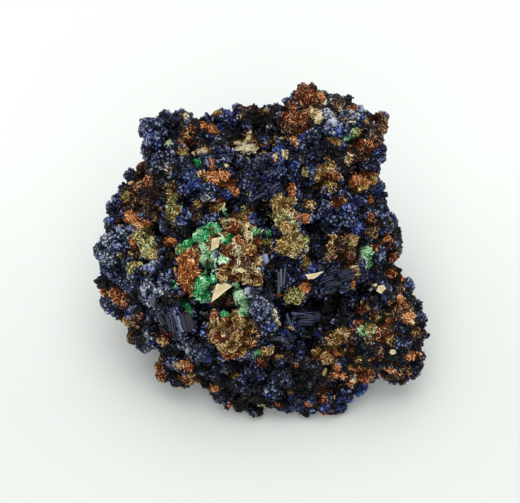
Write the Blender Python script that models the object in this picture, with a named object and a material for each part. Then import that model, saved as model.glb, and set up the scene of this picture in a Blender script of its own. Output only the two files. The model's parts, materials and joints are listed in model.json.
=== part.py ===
"""Azurite specimen: one intergrown lump of azurite balls and blades, rusty limonite, ochre and
malachite, resting on the flat scar where it was broken from its rock. Metres, +Z up.

The lumps of the display side are placed in the display face's own frame, in millimetres:
across (to the right), up (along the leaning face) and out (square out of the face).
The bulk behind them is placed in the standing frame: x, y, z in millimetres."""

import math
import random

import bmesh
import bpy
import numpy as np
from mathutils import Matrix, Vector, noise

MM = 0.001
NODE_NAME = "azurite_specimen"

# --- driving dimensions -------------------------------------------------------------------
FACE_LEAN = math.radians(35)  # how far the display face leans up from level, towards its back
FACE_CENTRE = (0.0, 0.0, 23.2)  # where the face frame's origin stands, in mm
READ_FROM = 260.0  # mm, the distance square in front of the face from which its places are read
VOXEL = 0.6  # mm, the grid on which the lumps grow together
DISPLAY_DEPTH = -9.0  # mm, how far behind the face's origin its display side reaches
DISPLAY_FACES = 4700  # triangles left in the display side before the crystals are joined on
PLAIN_FACES = 1300  # triangles left in the other sides
SEED = 20

# --- the display side: balls and lumps as (across, up, out, radius) ------------------------
AZURITE_LUMPS = {
    "north_west_knob": [
        (-18.6, 20.9, 0.0, 3.4), (-16.2, 22.3, -1.5, 2.6), (-19.6, 18.9, -0.8, 2.2),
        (-17.6, 19.0, 0.5, 2.2),
    ],
    "north_ridge": [
        (-8.0, 23.0, -2.0, 2.3), (-5.2, 23.0, -1.5, 2.4), (2.2, 23.4, -1.8, 2.6),
        (1.2, 21.4, -1.5, 2.4), (-12.2, 21.2, -3.0, 2.3),
    ],
    "north_east_mass": [
        (12.4, 25.6, -0.5, 2.4), (14.6, 24.6, -1.0, 2.6), (10.8, 23.4, 1.0, 2.6),
        (13.2, 21.6, 1.5, 2.6), (15.8, 22.0, 0.5, 2.4), (8.6, 20.4, 2.0, 2.6),
        (11.2, 19.4, 2.0, 2.4), (21.0, 17.6, -1.8, 1.7), (20.8, 15.9, -2.0, 1.6),
    ],
    "middle_ledge": [
        (-18.2, 16.6, 0.5, 2.2), (-19.0, 14.6, 0.5, 2.0), (-16.6, 15.2, 1.5, 2.3),
        (-14.4, 14.8, 2.5, 2.5), (-13.4, 12.2, 3.0, 2.8), (-15.6, 12.2, 2.0, 2.2),
        (-11.2, 15.6, 2.5, 2.4), (-8.4, 16.6, 2.8, 2.3), (-6.0, 16.0, 3.0, 2.2),
        (-3.4, 14.2, 3.8, 2.6), (-3.0, 11.4, 3.8, 2.4), (-0.8, 13.4, 4.0, 2.6),
        (-0.6, 10.8, 3.6, 2.2), (1.8, 14.6, 3.8, 2.6), (2.2, 12.4, 3.6, 2.2),
        (4.4, 16.0, 3.2, 2.5), (5.0, 18.6, 2.2, 2.2), (-11.5, 10.6, 3.0, 1.9),
        (-9.0, 10.2, 3.6, 1.9), (-7.4, 9.9, 3.6, 1.6),
    ],
    "west_boss": [
        (-27.4, 0.2, -4.0, 2.7), (-25.0, 1.0, -2.8, 2.4), (-24.6, -1.4, -2.4, 2.3),
        (-27.2, -2.6, -3.8, 2.3), (-28.6, -5.4, -6.0, 1.2), (-30.1, -5.6, -6.5, 0.9),
        (-26.2, -4.8, -3.6, 1.8), (-26.4, 3.0, -5.0, 1.9), (-22.9, 13.7, -5.5, 1.3),
    ],
    "west_crystals": [
        (-17.6, -1.0, 0.4, 1.8), (-22.4, -4.6, -0.8, 2.2), (-19.2, -4.2, 0.8, 2.2),
        (-17.4, -4.8, 1.2, 1.8), (-20.2, -7.2, 1.0, 2.0), (-18.0, -8.2, 1.6, 1.9),
        (-22.8, -7.2, -1.2, 1.9), (-21.2, -10.2, 0.0, 1.9), (-22.0, -12.6, -1.4, 2.0),
        (-13.4, 5.6, 1.8, 1.6), (-14.6, 4.2, 1.2, 1.5),
    ],
    "slab_bed": [
        (-14.6, -13.0, 1.2, 2.0), (-14.4, -15.8, 0.8, 1.8), (-17.4, -12.0, 0.6, 1.6),
        (-11.4, -17.6, 0.4, 2.0), (-9.6, -18.8, -0.4, 1.5),
    ],
    "east_side": [
        (20.5, 8.9, -2.0, 2.0), (17.6, 7.2, 0.8, 2.3), (15.4, 5.6, 1.8, 2.4),
        (12.4, 6.4, 1.6, 2.2), (10.4, 5.8, 1.2, 1.7), (10.0, 2.4, 0.4, 1.8),
        (19.8, 5.2, 0.0, 2.3), (21.7, 4.6, -2.0, 1.9), (24.0, 2.4, -4.0, 1.1),
        (21.9, 1.6, -1.8, 1.8), (18.6, 2.6, 0.4, 1.9), (18.8, -1.2, 0.4, 1.8),
        (20.6, -3.8, -0.6, 1.9),
    ],
    "east_wave": [
        (11.6, -3.8, 2.8, 2.2), (13.6, -4.8, 3.2, 2.3), (15.8, -4.6, 3.0, 2.1),
        (17.8, -4.2, 2.0, 1.9), (12.8, -6.6, 3.0, 1.4), (15.0, -6.4, 2.8, 1.3),
        (22.2, -8.8, -1.2, 1.9), (21.6, -11.0, -1.8, 1.6),
    ],
    "centre_blocks": [
        (3.4, -5.2, 2.4, 1.8), (5.6, -4.4, 2.2, 1.8), (0.2, -9.0, 3.2, 2.2),
        (1.0, -11.6, 3.4, 2.0), (1.8, -13.6, 3.0, 1.4), (-1.0, -10.8, 3.2, 1.8),
        (8.0, -11.6, -1.0, 2.4), (5.4, -13.0, -0.6, 2.2), (9.0, -14.4, -3.0, 2.2),
        (6.0, -16.0, -2.0, 2.0), (3.6, -16.2, -0.4, 1.5),
    ],
    "south_rim": [
        (-9.4, -23.4, -4.6, 1.9), (-7.4, -25.2, -5.0, 2.0), (-5.4, -27.0, -5.6, 1.9),
        (-2.6, -27.8, -5.6, 2.0), (-2.6, -24.6, -3.4, 2.5), (-6.6, -22.6, -3.0, 2.2),
        (0.4, -23.4, -2.8, 2.4), (1.4, -25.8, -4.2, 2.2), (3.8, -27.4, -5.2, 1.8),
        (5.8, -27.6, -5.4, 1.8), (7.9, -29.0, -6.0, 1.1), (7.8, -26.4, -4.6, 2.0),
        (10.6, -27.6, -5.4, 1.8), (13.0, -28.0, -6.0, 1.8), (4.6, -24.4, -3.2, 2.3),
        (7.8, -22.8, -2.6, 2.4), (3.6, -21.4, -2.0, 2.2), (-2.6, -21.4, -1.6, 2.1),
        (-14.6, -23.7, -5.0, 1.4),
    ],
}
EARTHY_LUMPS = {
    "north_crust": [
        (-13.9, 23.0, -2.5, 1.9), (-10.3, 22.2, -2.0, 2.2), (-2.4, 24.0, -1.5, 2.7),
        (0.0, 24.0, -1.5, 2.5),
    ],
    "trough_floor": [
        (-14.0, 19.0, -2.0, 2.2), (-11.6, 18.6, -2.0, 2.0), (-8.6, 19.2, -3.0, 2.0),
        (-5.0, 19.0, -3.4, 2.0), (-2.4, 18.6, -2.6, 1.9), (0.0, 18.2, -2.0, 1.8),
        (2.2, 18.2, -0.8, 1.8),
    ],
    "rusty_peak": [
        (8.8, 27.6, 0.0, 2.6), (7.4, 26.6, 0.5, 2.4), (10.9, 27.4, -1.0, 1.8),
        (6.2, 24.4, 1.0, 3.0), (4.6, 22.6, 1.0, 2.6), (7.6, 23.6, 1.2, 2.4),
    ],
    "north_east_knobs": [
        (16.1, 25.2, -2.0, 1.3), (20.0, 22.6, -2.8, 2.8), (17.3, 19.8, 0.0, 2.0),
        (19.2, 18.6, -0.5, 2.2), (18.0, 16.4, -0.8, 2.2),
    ],
    "red_scar": [(-9.6, 12.8, 3.5, 2.6), (-7.2, 13.4, 3.8, 2.4), (-5.8, 11.4, 3.5, 2.0)],
    "west_shoulder": [
        (-21.2, 12.4, -4.0, 2.2), (-23.6, 11.2, -5.0, 2.2), (-24.2, 9.0, -4.5, 2.6),
        (-21.4, 9.8, -2.5, 2.4), (-26.0, 7.0, -5.5, 2.0), (-25.8, 5.0, -5.0, 2.4),
        (-22.8, 5.6, -2.5, 2.0), (-24.3, 5.4, -2.6, 1.8), (-20.6, 4.7, -2.0, 1.6),
        (-19.6, 11.2, -1.0, 1.8), (-18.8, 8.6, -1.2, 1.9), (-19.4, 6.4, -2.0, 2.0),
    ],
    "olive_pillar": [
        (-16.0, 9.0, 1.4, 1.8), (-16.2, 6.6, 1.2, 1.9), (-16.4, 4.4, 0.8, 1.7),
        (-16.8, 1.6, 0.6, 1.6),
    ],
    "dark_buttons": [
        (-8.8, 7.2, 2.8, 1.6), (-11.8, 7.4, 2.2, 1.2), (-11.4, 5.8, 2.4, 1.1),
        (-3.0, 7.2, 3.2, 1.5), (-0.6, 6.6, 3.0, 1.5),
    ],
    "west_ochre": [
        (-21.6, 1.8, -1.4, 1.8), (-20.4, 0.2, -0.8, 2.0), (-22.8, -2.8, -1.8, 1.4),
        (-24.4, -4.0, -2.2, 1.2),
    ],
    "west_rust": [
        (-27.6, -8.0, -5.0, 1.5), (-26.0, -7.6, -4.2, 1.6), (-25.2, -9.6, -4.4, 1.5),
        (-26.6, -10.2, -6.4, 1.4), (-23.9, -12.9, -4.6, 1.1),
    ],
    "south_west_knobs": [
        (-21.8, -15.6, -3.8, 2.4), (-19.4, -16.2, -3.0, 2.0), (-17.6, -15.6, -1.8, 1.6),
        (-17.2, -20.8, -4.4, 1.9), (-17.6, -22.4, -5.2, 1.2), (-14.8, -21.4, -4.0, 1.8),
        (-12.8, -21.4, -3.2, 2.0), (-12.4, -23.0, -4.4, 1.4), (-16.6, -18.4, -3.0, 1.4),
    ],
    "malachite_band": [
        (-7.6, 4.2, 3.2, 1.8), (-10.2, 2.6, 3.0, 2.0), (-12.8, 1.4, 2.4, 1.8),
        (-15.0, -0.6, 1.6, 1.6), (-9.6, -1.0, 3.2, 2.0), (-10.2, -5.2, 2.8, 2.0),
        (-10.6, -8.0, 2.6, 1.9), (-3.8, -8.4, 3.4, 1.5), (-15.0, -7.6, 1.2, 1.5),
    ],
    "orange_boss": [(-13.8, -1.6, 3.4, 2.2), (-13.6, -4.0, 3.6, 2.5), (-13.0, -6.8, 2.4, 1.6)],
    "sponge_boss": [
        (-4.4, 1.6, 5.0, 3.4), (-5.6, -1.6, 5.2, 3.0), (-1.8, -1.4, 5.0, 3.0),
        (-2.0, 2.6, 4.2, 2.6), (-6.8, -4.4, 4.8, 2.2), (-1.6, -4.6, 4.6, 2.4),
        (-5.0, 5.0, 3.2, 2.0),
    ],
    "ochre_tower": [
        (3.4, 8.6, 3.6, 1.9), (3.2, 6.2, 4.4, 2.2), (5.4, 6.0, 4.2, 1.9),
        (4.8, 3.4, 5.0, 2.3), (4.8, 0.6, 4.6, 2.4), (6.6, 2.0, 3.8, 1.8),
        (2.6, 1.2, 3.4, 1.7), (7.6, -1.2, 2.2, 1.2), (0.9, 1.2, 2.6, 1.3),
        (7.6, 5.8, 2.4, 1.5), (8.2, 8.2, 1.6, 1.4), (9.9, 8.9, 1.2, 1.1),
    ],
    "ochre_balls": [
        (11.8, 13.2, 1.0, 2.2), (13.0, 11.6, 1.0, 2.0), (12.9, 14.9, 0.4, 1.5),
        (17.6, 11.9, 0.0, 2.0), (19.2, 13.0, -0.6, 1.6), (14.4, 8.6, 1.6, 1.9),
        (5.6, 11.2, 2.8, 1.0), (20.9, 11.0, -2.8, 1.8), (14.2, 0.8, 3.0, 2.9),
    ],
    "east_rust": [
        (20.4, 0.8, -0.4, 1.9), (23.6, -1.6, -3.4, 1.4), (22.4, -3.6, -2.8, 1.8),
        (24.2, -4.6, -4.6, 1.5), (21.4, -7.0, -0.6, 1.4),
    ],
    "centre_ochre": [
        (6.0, -8.0, 2.4, 1.9), (8.6, -7.2, 2.4, 1.5), (4.4, -8.6, 2.0, 1.5),
        (9.2, -4.8, 3.0, 0.9),
    ],
    "brown_globe": [
        (-5.8, -14.4, 3.2, 3.9), (-5.4, -17.4, 2.2, 2.6), (-8.8, -12.6, 2.2, 2.4),
        (-10.2, -14.0, 1.4, 1.8), (-2.4, -16.8, 1.8, 1.9), (0.9, -18.2, 0.4, 1.6),
        (4.4, -18.6, -1.0, 1.6), (-1.0, -14.0, 2.4, 1.6),
    ],
    "south_crust": [
        (11.4, -25.2, -4.2, 2.2), (14.6, -26.0, -5.0, 1.9), (16.4, -25.0, -5.4, 1.4),
        (0.8, -20.6, -1.2, 1.9), (11.2, -21.8, -2.2, 2.3),
    ],
    "south_east_lobe": [
        (14.2, -20.6, -1.6, 2.4), (12.4, -17.4, -1.0, 2.4), (10.4, -19.2, -1.8, 1.8),
        (14.2, -15.6, -1.6, 1.9), (17.2, -18.4, -1.0, 2.5), (16.6, -22.2, -3.0, 2.2),
        (19.0, -22.8, -4.4, 1.8), (18.8, -15.2, -0.4, 2.0), (21.8, -15.6, 0.0, 2.4),
        (20.6, -19.2, -1.6, 2.4), (22.8, -12.6, -0.8, 2.0), (24.4, -9.4, -2.0, 2.2),
        (25.4, -7.0, -4.4, 1.4), (27.2, -9.6, -4.4, 1.4), (26.6, -11.6, -2.8, 1.8),
        (28.4, -11.0, -5.2, 0.9), (25.4, -14.0, -1.0, 2.6), (27.6, -13.2, -3.6, 1.7),
        (28.8, -15.0, -5.2, 1.1), (27.4, -16.4, -3.6, 1.8), (24.0, -17.6, -1.2, 2.3),
        (26.8, -19.0, -3.6, 2.0), (27.2, -21.0, -5.0, 1.6), (24.0, -20.8, -2.8, 2.1),
        (25.0, -22.8, -5.0, 1.8), (23.2, -22.4, -4.4, 1.5), (19.4, -12.4, -1.6, 1.9),
        (18.2, -10.6, -3.0, 2.0), (13.2, -12.0, -6.0, 2.6), (16.0, -12.6, -5.4, 2.4),
    ],
}

# --- small lumps round the rim of the display side: (across, up, out, radius) ---------------
RIM = [
    (-29.2, 0.6, -5.5, 1.0), (-27.2, 4.6, -5.5, 1.2), (-27.0, 7.5, -5.5, 1.2),
    (-25.2, 9.9, -5.0, 1.2), (-23.2, 13.6, -4.6, 1.2), (-20.9, 14.4, -3.0, 1.2),
    (-20.5, 19.0, -2.0, 1.4), (-21.2, 21.4, -1.5, 1.5), (-19.6, 22.9, -1.5, 1.3),
    (-16.6, 23.4, -2.0, 1.3), (-14.2, 23.6, -3.0, 1.2), (-10.3, 23.2, -3.0, 1.2),
    (-8.0, 24.1, -2.6, 1.2), (-4.1, 25.1, -2.0, 1.3), (-1.4, 25.4, -2.0, 1.2),
    (2.4, 24.9, -2.0, 1.2), (4.9, 25.3, -1.0, 1.1), (7.2, 28.5, 0.0, 1.2),
    (9.2, 28.9, -0.5, 1.2), (11.3, 28.0, -1.5, 1.1), (13.2, 26.9, -1.5, 1.2),
    (19.3, 24.2, -3.0, 1.3), (21.5, 22.9, -3.5, 1.3), (21.9, 21.4, -3.2, 1.1),
    (21.5, 17.5, -2.6, 1.2), (20.9, 15.6, -2.6, 1.1), (20.4, 11.4, -3.0, 1.2),
    (20.8, 9.3, -2.6, 1.1), (22.6, 5.0, -3.0, 1.2), (24.0, 2.5, -4.0, 1.1),
    (23.6, -1.2, -4.0, 1.2), (24.2, -4.2, -4.4, 1.3), (25.6, -6.8, -4.6, 1.2),
    (27.2, -9.6, -4.6, 1.3), (28.1, -11.0, -4.8, 1.2), (28.6, -14.4, -5.0, 1.5),
    (27.9, -16.8, -5.0, 1.4), (27.9, -19.6, -5.4, 1.4), (27.3, -21.4, -5.6, 1.5),
    (25.5, -23.5, -6.0, 1.5), (23.4, -22.7, -6.0, 1.4), (18.7, -23.6, -6.0, 1.3),
    (17.0, -25.0, -6.2, 1.3), (15.3, -26.7, -6.4, 1.3), (13.4, -28.5, -6.8, 1.5),
    (11.2, -28.4, -6.4, 1.3), (8.0, -29.3, -6.4, 1.3), (5.3, -28.3, -6.0, 1.3),
    (3.0, -27.3, -6.0, 1.2), (-1.6, -28.9, -6.4, 1.4), (-3.8, -28.3, -6.4, 1.4),
    (-6.0, -27.3, -6.0, 1.3), (-8.4, -24.9, -6.0, 1.2), (-10.2, -23.9, -5.6, 1.2),
    (-13.9, -23.9, -5.6, 1.2), (-17.0, -22.6, -5.8, 1.3), (-18.0, -20.9, -5.4, 1.2),
    (-21.0, -17.2, -4.6, 1.3), (-22.9, -16.0, -5.0, 1.4), (-24.0, -12.9, -5.4, 1.2),
    (-26.0, -10.8, -6.0, 1.3), (-27.9, -9.0, -6.2, 1.3), (-28.3, -7.2, -6.2, 1.1),
    (-28.6, -2.4, -5.6, 1.4),
]

# --- the bulk behind the display side: (x, y, z, radius) in the standing frame --------------
BULK = [
    (0.0, 3.0, 14.0, 11.5), (-10.0, 6.0, 15.0, 10.5), (10.0, 5.0, 15.0, 10.5),
    (-15.0, -1.0, 13.0, 8.5), (14.0, -6.0, 9.0, 7.2), (-2.0, -8.0, 9.0, 8.5),
    (-6.0, 12.0, 22.0, 9.0), (8.0, 12.0, 22.5, 8.5), (13.0, 13.0, 24.0, 7.0),
    (-14.0, 12.0, 24.0, 7.5), (3.0, 15.0, 24.0, 9.0), (19.0, -9.0, 9.5, 6.5),
    (-8.0, -11.0, 8.0, 7.0), (4.0, -13.0, 6.0, 6.0), (-20.0, 3.0, 16.0, 7.0),
    (18.0, 6.0, 18.0, 7.5), (-13.0, 9.0, 8.0, 10.0), (12.0, 9.0, 8.0, 10.5),
    (-8.0, 17.0, 26.0, 6.5), (10.0, 16.0, 27.0, 7.5), (0.0, 18.0, 26.0, 6.0),
    (-21.0, -4.0, 13.5, 5.5), (0.0, 12.0, 9.0, 11.0), (3.0, -5.0, 6.0, 10.0),
    (-12.0, 16.0, 17.0, 7.0), (3.0, 16.0, 15.0, 8.5), (14.0, 13.0, 15.0, 8.5),
    (-5.0, 17.0, 7.0, 6.5), (-18.0, 10.0, 12.0, 6.0), (20.0, 9.0, 11.0, 5.0),
]

# --- hollows in the display side: (across, up, out, radius) --------------------------------
PITS = [
    (14.6, -9.8, 1.6, 3.6), (11.0, -10.6, 1.0, 3.0), (17.6, -8.6, 1.2, 2.4),
    (7.4, 11.2, 2.6, 1.9), (8.8, 12.6, 2.2, 1.5), (15.2, 13.6, 1.2, 1.7),
    (-22.4, -2.6, 1.2, 1.2), (-9.0, -20.6, -0.4, 1.7), (8.4, -16.8, 0.0, 1.5),
]

# --- the large azurite plates: (across, up, out, length, width, thickness, turn, tip) -------
# turn is the plate's direction on the face in degrees, tip how far it stands out of the face
PLATES = [
    (-14.4, -13.4, 3.4, 7.4, 3.0, 1.1, 100, 12), (-16.2, -13.2, 3.0, 6.6, 2.2, 0.9, 108, 30),
    (-17.9, -12.0, 2.2, 5.4, 2.4, 0.9, 118, 20), (-12.9, -13.2, 2.6, 5.6, 1.8, 0.9, 96, -18),
    (-17.6, -7.4, 3.4, 3.2, 2.4, 0.9, 40, 18), (-16.6, -9.2, 2.4, 3.0, 2.0, 0.9, 60, 24),
    (-19.6, -9.8, 2.0, 4.4, 1.6, 0.8, 100, 30), (-8.6, 10.1, 5.2, 4.8, 2.0, 0.9, 8, 14),
    (-2.4, 9.8, 5.6, 4.6, 1.8, 0.8, 172, 24), (-1.2, 11.4, 6.2, 5.0, 1.8, 0.8, 160, 30),
    (-1.6, 13.0, 6.4, 4.6, 1.8, 0.8, 165, 30), (3.0, -5.4, 4.2, 4.2, 1.6, 0.8, 92, 10),
    (4.2, -5.2, 4.0, 3.8, 1.4, 0.8, 88, -10), (0.6, -10.0, 5.2, 4.4, 3.4, 1.2, 108, 10),
    (0.0, -12.2, 4.6, 3.4, 2.6, 1.0, 20, 14), (3.8, -16.4, 1.0, 3.8, 1.2, 0.7, 168, 20),
    (5.4, -13.4, 1.6, 3.2, 1.4, 0.7, 130, 20), (7.8, -12.2, 1.6, 4.6, 2.2, 0.9, 2, 24),
    (12.6, -4.2, 5.0, 5.4, 1.6, 0.8, 170, 34), (13.4, -5.4, 5.4, 5.6, 1.6, 0.8, 172, 38),
    (13.2, -6.6, 4.8, 5.4, 1.6, 0.8, 176, 42), (16.6, -4.8, 4.8, 4.4, 1.6, 0.8, 20, 34),
    (-11.2, -17.8, 2.4, 4.2, 1.8, 0.8, 8, 22), (-22.6, -3.8, 1.2, 4.0, 1.8, 0.8, 30, 26),
    (-29.4, -5.6, -5.4, 2.6, 1.6, 0.9, 8, 0), (-22.9, 13.8, -4.6, 2.4, 1.7, 0.9, 8, 12),
]

# --- the druse: small chisel-ended crystals on the azurite lumps ----------------------------
DRUSE_PER_LUMP = 0.5  # how many crystals stand on an average lump
DRUSE_BEARING = 1.5  # mm, the radius of the smallest lump that bears crystals
DRUSE_WIDTH = (1.2, 2.1)  # mm
DRUSE_FLATNESS = (0.35, 0.6)  # a crystal's thickness over its width
DRUSE_LENGTH = (2.0, 3.2)  # mm, more than half of it sunk in the lump
COAT = 0.6  # mm, how deep the little knobs that coat each lump are rooted
COAT_RADIUS = (0.75, 1.3)  # mm
KNOBS_PER_AREA = 1.5  # little knobs on a lump, for each square millimetre of its radius squared
KNOB_COUNT = 190  # larger knobs on the back and the sides
KNOB_RADIUS = (1.1, 2.0)  # mm


def on_face(across, up, out):
    """The standing-frame point, in metres, of a place on the display face in millimetres."""
    up_slope = Vector((0.0, math.cos(FACE_LEAN), math.sin(FACE_LEAN)))
    square_out = Vector((0.0, -math.sin(FACE_LEAN), math.cos(FACE_LEAN)))
    spread = 1.0 - out / READ_FROM
    level = Vector((across * spread, 0.0, 0.0))
    return (Vector(FACE_CENTRE) + level + up * spread * up_slope + out * square_out) * MM


def face_turn():
    """The rotation from the face's own axes to the standing frame."""
    return Matrix.Rotation(FACE_LEAN, 4, "X")


def clear_scene():
    """Removes every object that the scene starts with."""
    for obj in list(bpy.data.objects):
        bpy.data.objects.remove(obj)


def object_from(bm, name):
    """A new object in the scene that holds a bmesh, which is freed."""
    mesh = bpy.data.meshes.new(name)
    bm.to_mesh(mesh)
    bm.free()
    obj = bpy.data.objects.new(name, mesh)
    bpy.context.scene.collection.objects.link(obj)
    return obj


def apply_modifiers(obj):
    """Turns an object's evaluated shape into its mesh and clears its modifiers."""
    graph = bpy.context.evaluated_depsgraph_get()
    shaped = bpy.data.meshes.new_from_object(obj.evaluated_get(graph))
    obj.modifiers.clear()
    obj.data = shaped


def keep_outer_skin(obj):
    """Fills the closed voids inside an object by dropping every skin but the widest."""
    bm = bmesh.new()
    bm.from_mesh(obj.data)
    unseen = set(bm.verts)
    skins = []
    while unseen:
        front = [unseen.pop()]
        skin = set(front)
        while front:
            vertex = front.pop()
            for edge in vertex.link_edges:
                near = edge.other_vert(vertex)
                if near not in skin:
                    skin.add(near)
                    front.append(near)
        unseen -= skin
        skins.append(skin)
    widest = max(skins, key=len)
    bmesh.ops.delete(bm, geom=[v for v in bm.verts if v not in widest], context="VERTS")
    bm.to_mesh(obj.data)
    bm.free()


def grow_together(obj, voxel_mm):
    """Fuses an object's overlapping closed shapes into one skin with no void inside."""
    remesh = obj.modifiers.new("grow", "REMESH")
    remesh.mode = "VOXEL"
    remesh.voxel_size = voxel_mm * MM
    apply_modifiers(obj)
    keep_outer_skin(obj)


def combine(obj, other, operation, self_crossing=False):
    """Cuts another object from this one, or joins it on, and removes the other."""
    boolean = obj.modifiers.new("combine", "BOOLEAN")
    boolean.object = other
    boolean.operation = operation
    boolean.solver = "EXACT"
    boolean.use_self = self_crossing
    apply_modifiers(obj)
    bpy.data.objects.remove(other)


def balls(spots, name):
    """A new object of separate balls, one for each (centre, radius) in metres."""
    bm = bmesh.new()
    bmesh.ops.create_icosphere(bm, subdivisions=3, radius=1.0)
    shell = np.array([vertex.co for vertex in bm.verts])
    triangles = np.array([[vertex.index for vertex in face.verts] for face in bm.faces])
    bm.free()
    points = [np.array(centre) + shell * radius for centre, radius in spots]
    faces = [triangles + i * len(shell) for i in range(len(points))]
    mesh = bpy.data.meshes.new(name)
    mesh.from_pydata(np.concatenate(points).tolist(), [], np.concatenate(faces).tolist())
    obj = bpy.data.objects.new(name, mesh)
    bpy.context.scene.collection.objects.link(obj)
    return obj


def join_meshes(obj, other):
    """Adds another object's mesh to this one's as separate skins, and removes the other."""
    bm = bmesh.new()
    bm.from_mesh(obj.data)
    bm.from_mesh(other.data)
    bm.to_mesh(obj.data)
    bm.free()
    bpy.data.objects.remove(other)


def face_lumps():
    """Every hand-placed lump of the display side, as (centre, radius) in metres."""
    groups = [*AZURITE_LUMPS.values(), *EARTHY_LUMPS.values(), RIM]
    for across, up, out, radius in (lump for lumps in groups for lump in lumps):
        yield on_face(across, up, out), radius * MM


def knobbly(lumps, rng):
    """Each lump as a smaller core under a coat of little knobs that reach its full radius."""
    for centre, radius in lumps:
        yield centre, radius - COAT * MM
        for _ in range(round(KNOBS_PER_AREA * (radius / MM) ** 2)):
            way = Vector([rng.gauss(0.0, 1.0) for _ in range(3)]).normalized()
            knob = rng.uniform(*COAT_RADIUS) * MM
            tip = radius + rng.uniform(-0.1, 0.3) * MM
            yield centre + way * (tip - knob), knob


def roots(lumps, bulk):
    """Stems of balls that tie each lump to the nearest ball of the bulk."""
    for centre, radius in lumps:
        near, reach = min(bulk, key=lambda ball: (ball[0] - centre).length - ball[1])
        gap = (near - centre).length - reach
        for step in range(1, 1 + max(0, math.ceil((gap + radius) / radius))):
            way = (near - centre).normalized()
            yield centre + way * step * radius, radius * (1.0 + 0.12 * step)


def build_lumps(rng):
    """The bulk and the hand-placed lumps, grown together."""
    bulk = [(Vector((x, y, z)) * MM, radius * MM) for x, y, z, radius in BULK]
    lumps = list(face_lumps())
    stems = list(roots(lumps, bulk))
    rock = balls(bulk + stems + list(knobbly(lumps, rng)), NODE_NAME)
    grow_together(rock, VOXEL)
    return rock


def add_knobs(rock, rng):
    """Grows small knobs over the sides and the back, where no lump was placed by hand."""
    centres = np.array([centre for centre, _ in face_lumps()])
    faces = []
    for face in rock.data.polygons:
        gap = np.linalg.norm(centres - np.array(face.center), axis=1).min()
        if face.center.z > 2.5 * MM and gap > 3.2 * MM:
            faces.append(face)
    knobs = []
    for face in rng.sample(faces, min(KNOB_COUNT, len(faces))):
        radius = rng.uniform(*KNOB_RADIUS) * MM
        knobs.append((face.center - face.normal * radius * rng.uniform(0.1, 0.45), radius))
    join_meshes(rock, balls(knobs, "knobs"))
    grow_together(rock, VOXEL)


def carve_pits(rock):
    """Cuts the dark hollows of the display side."""
    spots = [(on_face(across, up, out), radius * MM) for across, up, out, radius in PITS]
    combine(rock, balls(spots, "pits"), "DIFFERENCE", self_crossing=True)
    grow_together(rock, VOXEL)


def roughen(rock):
    """Works a coarse and a fine unevenness into the skin."""
    bm = bmesh.new()
    bm.from_mesh(rock.data)
    for vertex in bm.verts:
        coarse = noise.noise(vertex.co / (5.0 * MM))
        fine = noise.noise(vertex.co / (1.7 * MM) + Vector((7.0, 3.0, 5.0)))
        vertex.co += vertex.normal * (0.35 * coarse + 0.40 * fine) * MM
    bm.to_mesh(rock.data)
    bm.free()


def thin_out(rock, on_display_side, triangles):
    """Reduces the skin of the display side, or of the rest, to about so many triangles."""
    square_out = face_turn().to_3x3() @ Vector((0.0, 0.0, 1.0))
    centre = Vector(FACE_CENTRE) * MM
    side = rock.vertex_groups.new(name="side")
    on_side = np.zeros(len(rock.data.vertices), dtype=bool)
    for vertex in rock.data.vertices:
        displayed = (vertex.co - centre).dot(square_out) > DISPLAY_DEPTH * MM
        on_side[vertex.index] = displayed == on_display_side
    side.add(np.flatnonzero(on_side).tolist(), 1.0, "REPLACE")
    total = len(rock.data.polygons)
    here = sum(all(on_side[i] for i in face.vertices) for face in rock.data.polygons)
    decimate = rock.modifiers.new("thin", "DECIMATE")
    decimate.ratio = min(1.0, (total - here + triangles) / total)
    decimate.vertex_group = side.name
    decimate.use_collapse_triangulate = True
    apply_modifiers(rock)
    rock.vertex_groups.clear()


def split_into_triangles(obj):
    """Splits every face of an object into triangles."""
    bm = bmesh.new()
    bm.from_mesh(obj.data)
    bmesh.ops.triangulate(bm, faces=bm.faces)
    bm.to_mesh(obj.data)
    bm.free()


def cut_base(rock):
    """Leaves the flat scar on which the specimen rests, at z = 0."""
    bm = bmesh.new()
    block = Matrix.Translation((0.0, 0.0, -20.0 * MM)) @ Matrix.Diagonal((0.1, 0.1, 0.04, 1.0))
    bmesh.ops.create_cube(bm, size=1.0, matrix=block)
    combine(rock, object_from(bm, "rock_bed"), "DIFFERENCE")


def add_plate(bm, matrix, length, width, thickness):
    """A tabular crystal: a long six-sided plate with bevelled rims."""
    chisel = 0.36 * width
    outline = [
        (-length / 2, -0.08 * width), (-length / 2 + chisel, -width / 2),
        (length / 2 - chisel, -width / 2), (length / 2, 0.08 * width),
        (length / 2 - chisel, width / 2), (-length / 2 + chisel, width / 2),
    ]
    rings = []
    for height, shrink in ((-thickness / 2, 0.84), (thickness / 2, 0.84)):
        rings.append([bm.verts.new(matrix @ Vector((x * shrink, y * shrink, height))) for x, y in outline])
    rim = [bm.verts.new(matrix @ Vector((x, y, 0.0))) for x, y in outline]
    lower, upper = rings
    bm.faces.new(list(reversed(lower)))
    bm.faces.new(upper)
    for i in range(6):
        j = (i + 1) % 6
        bm.faces.new((lower[i], lower[j], rim[j], rim[i]))
        bm.faces.new((rim[i], rim[j], upper[j], upper[i]))


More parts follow.
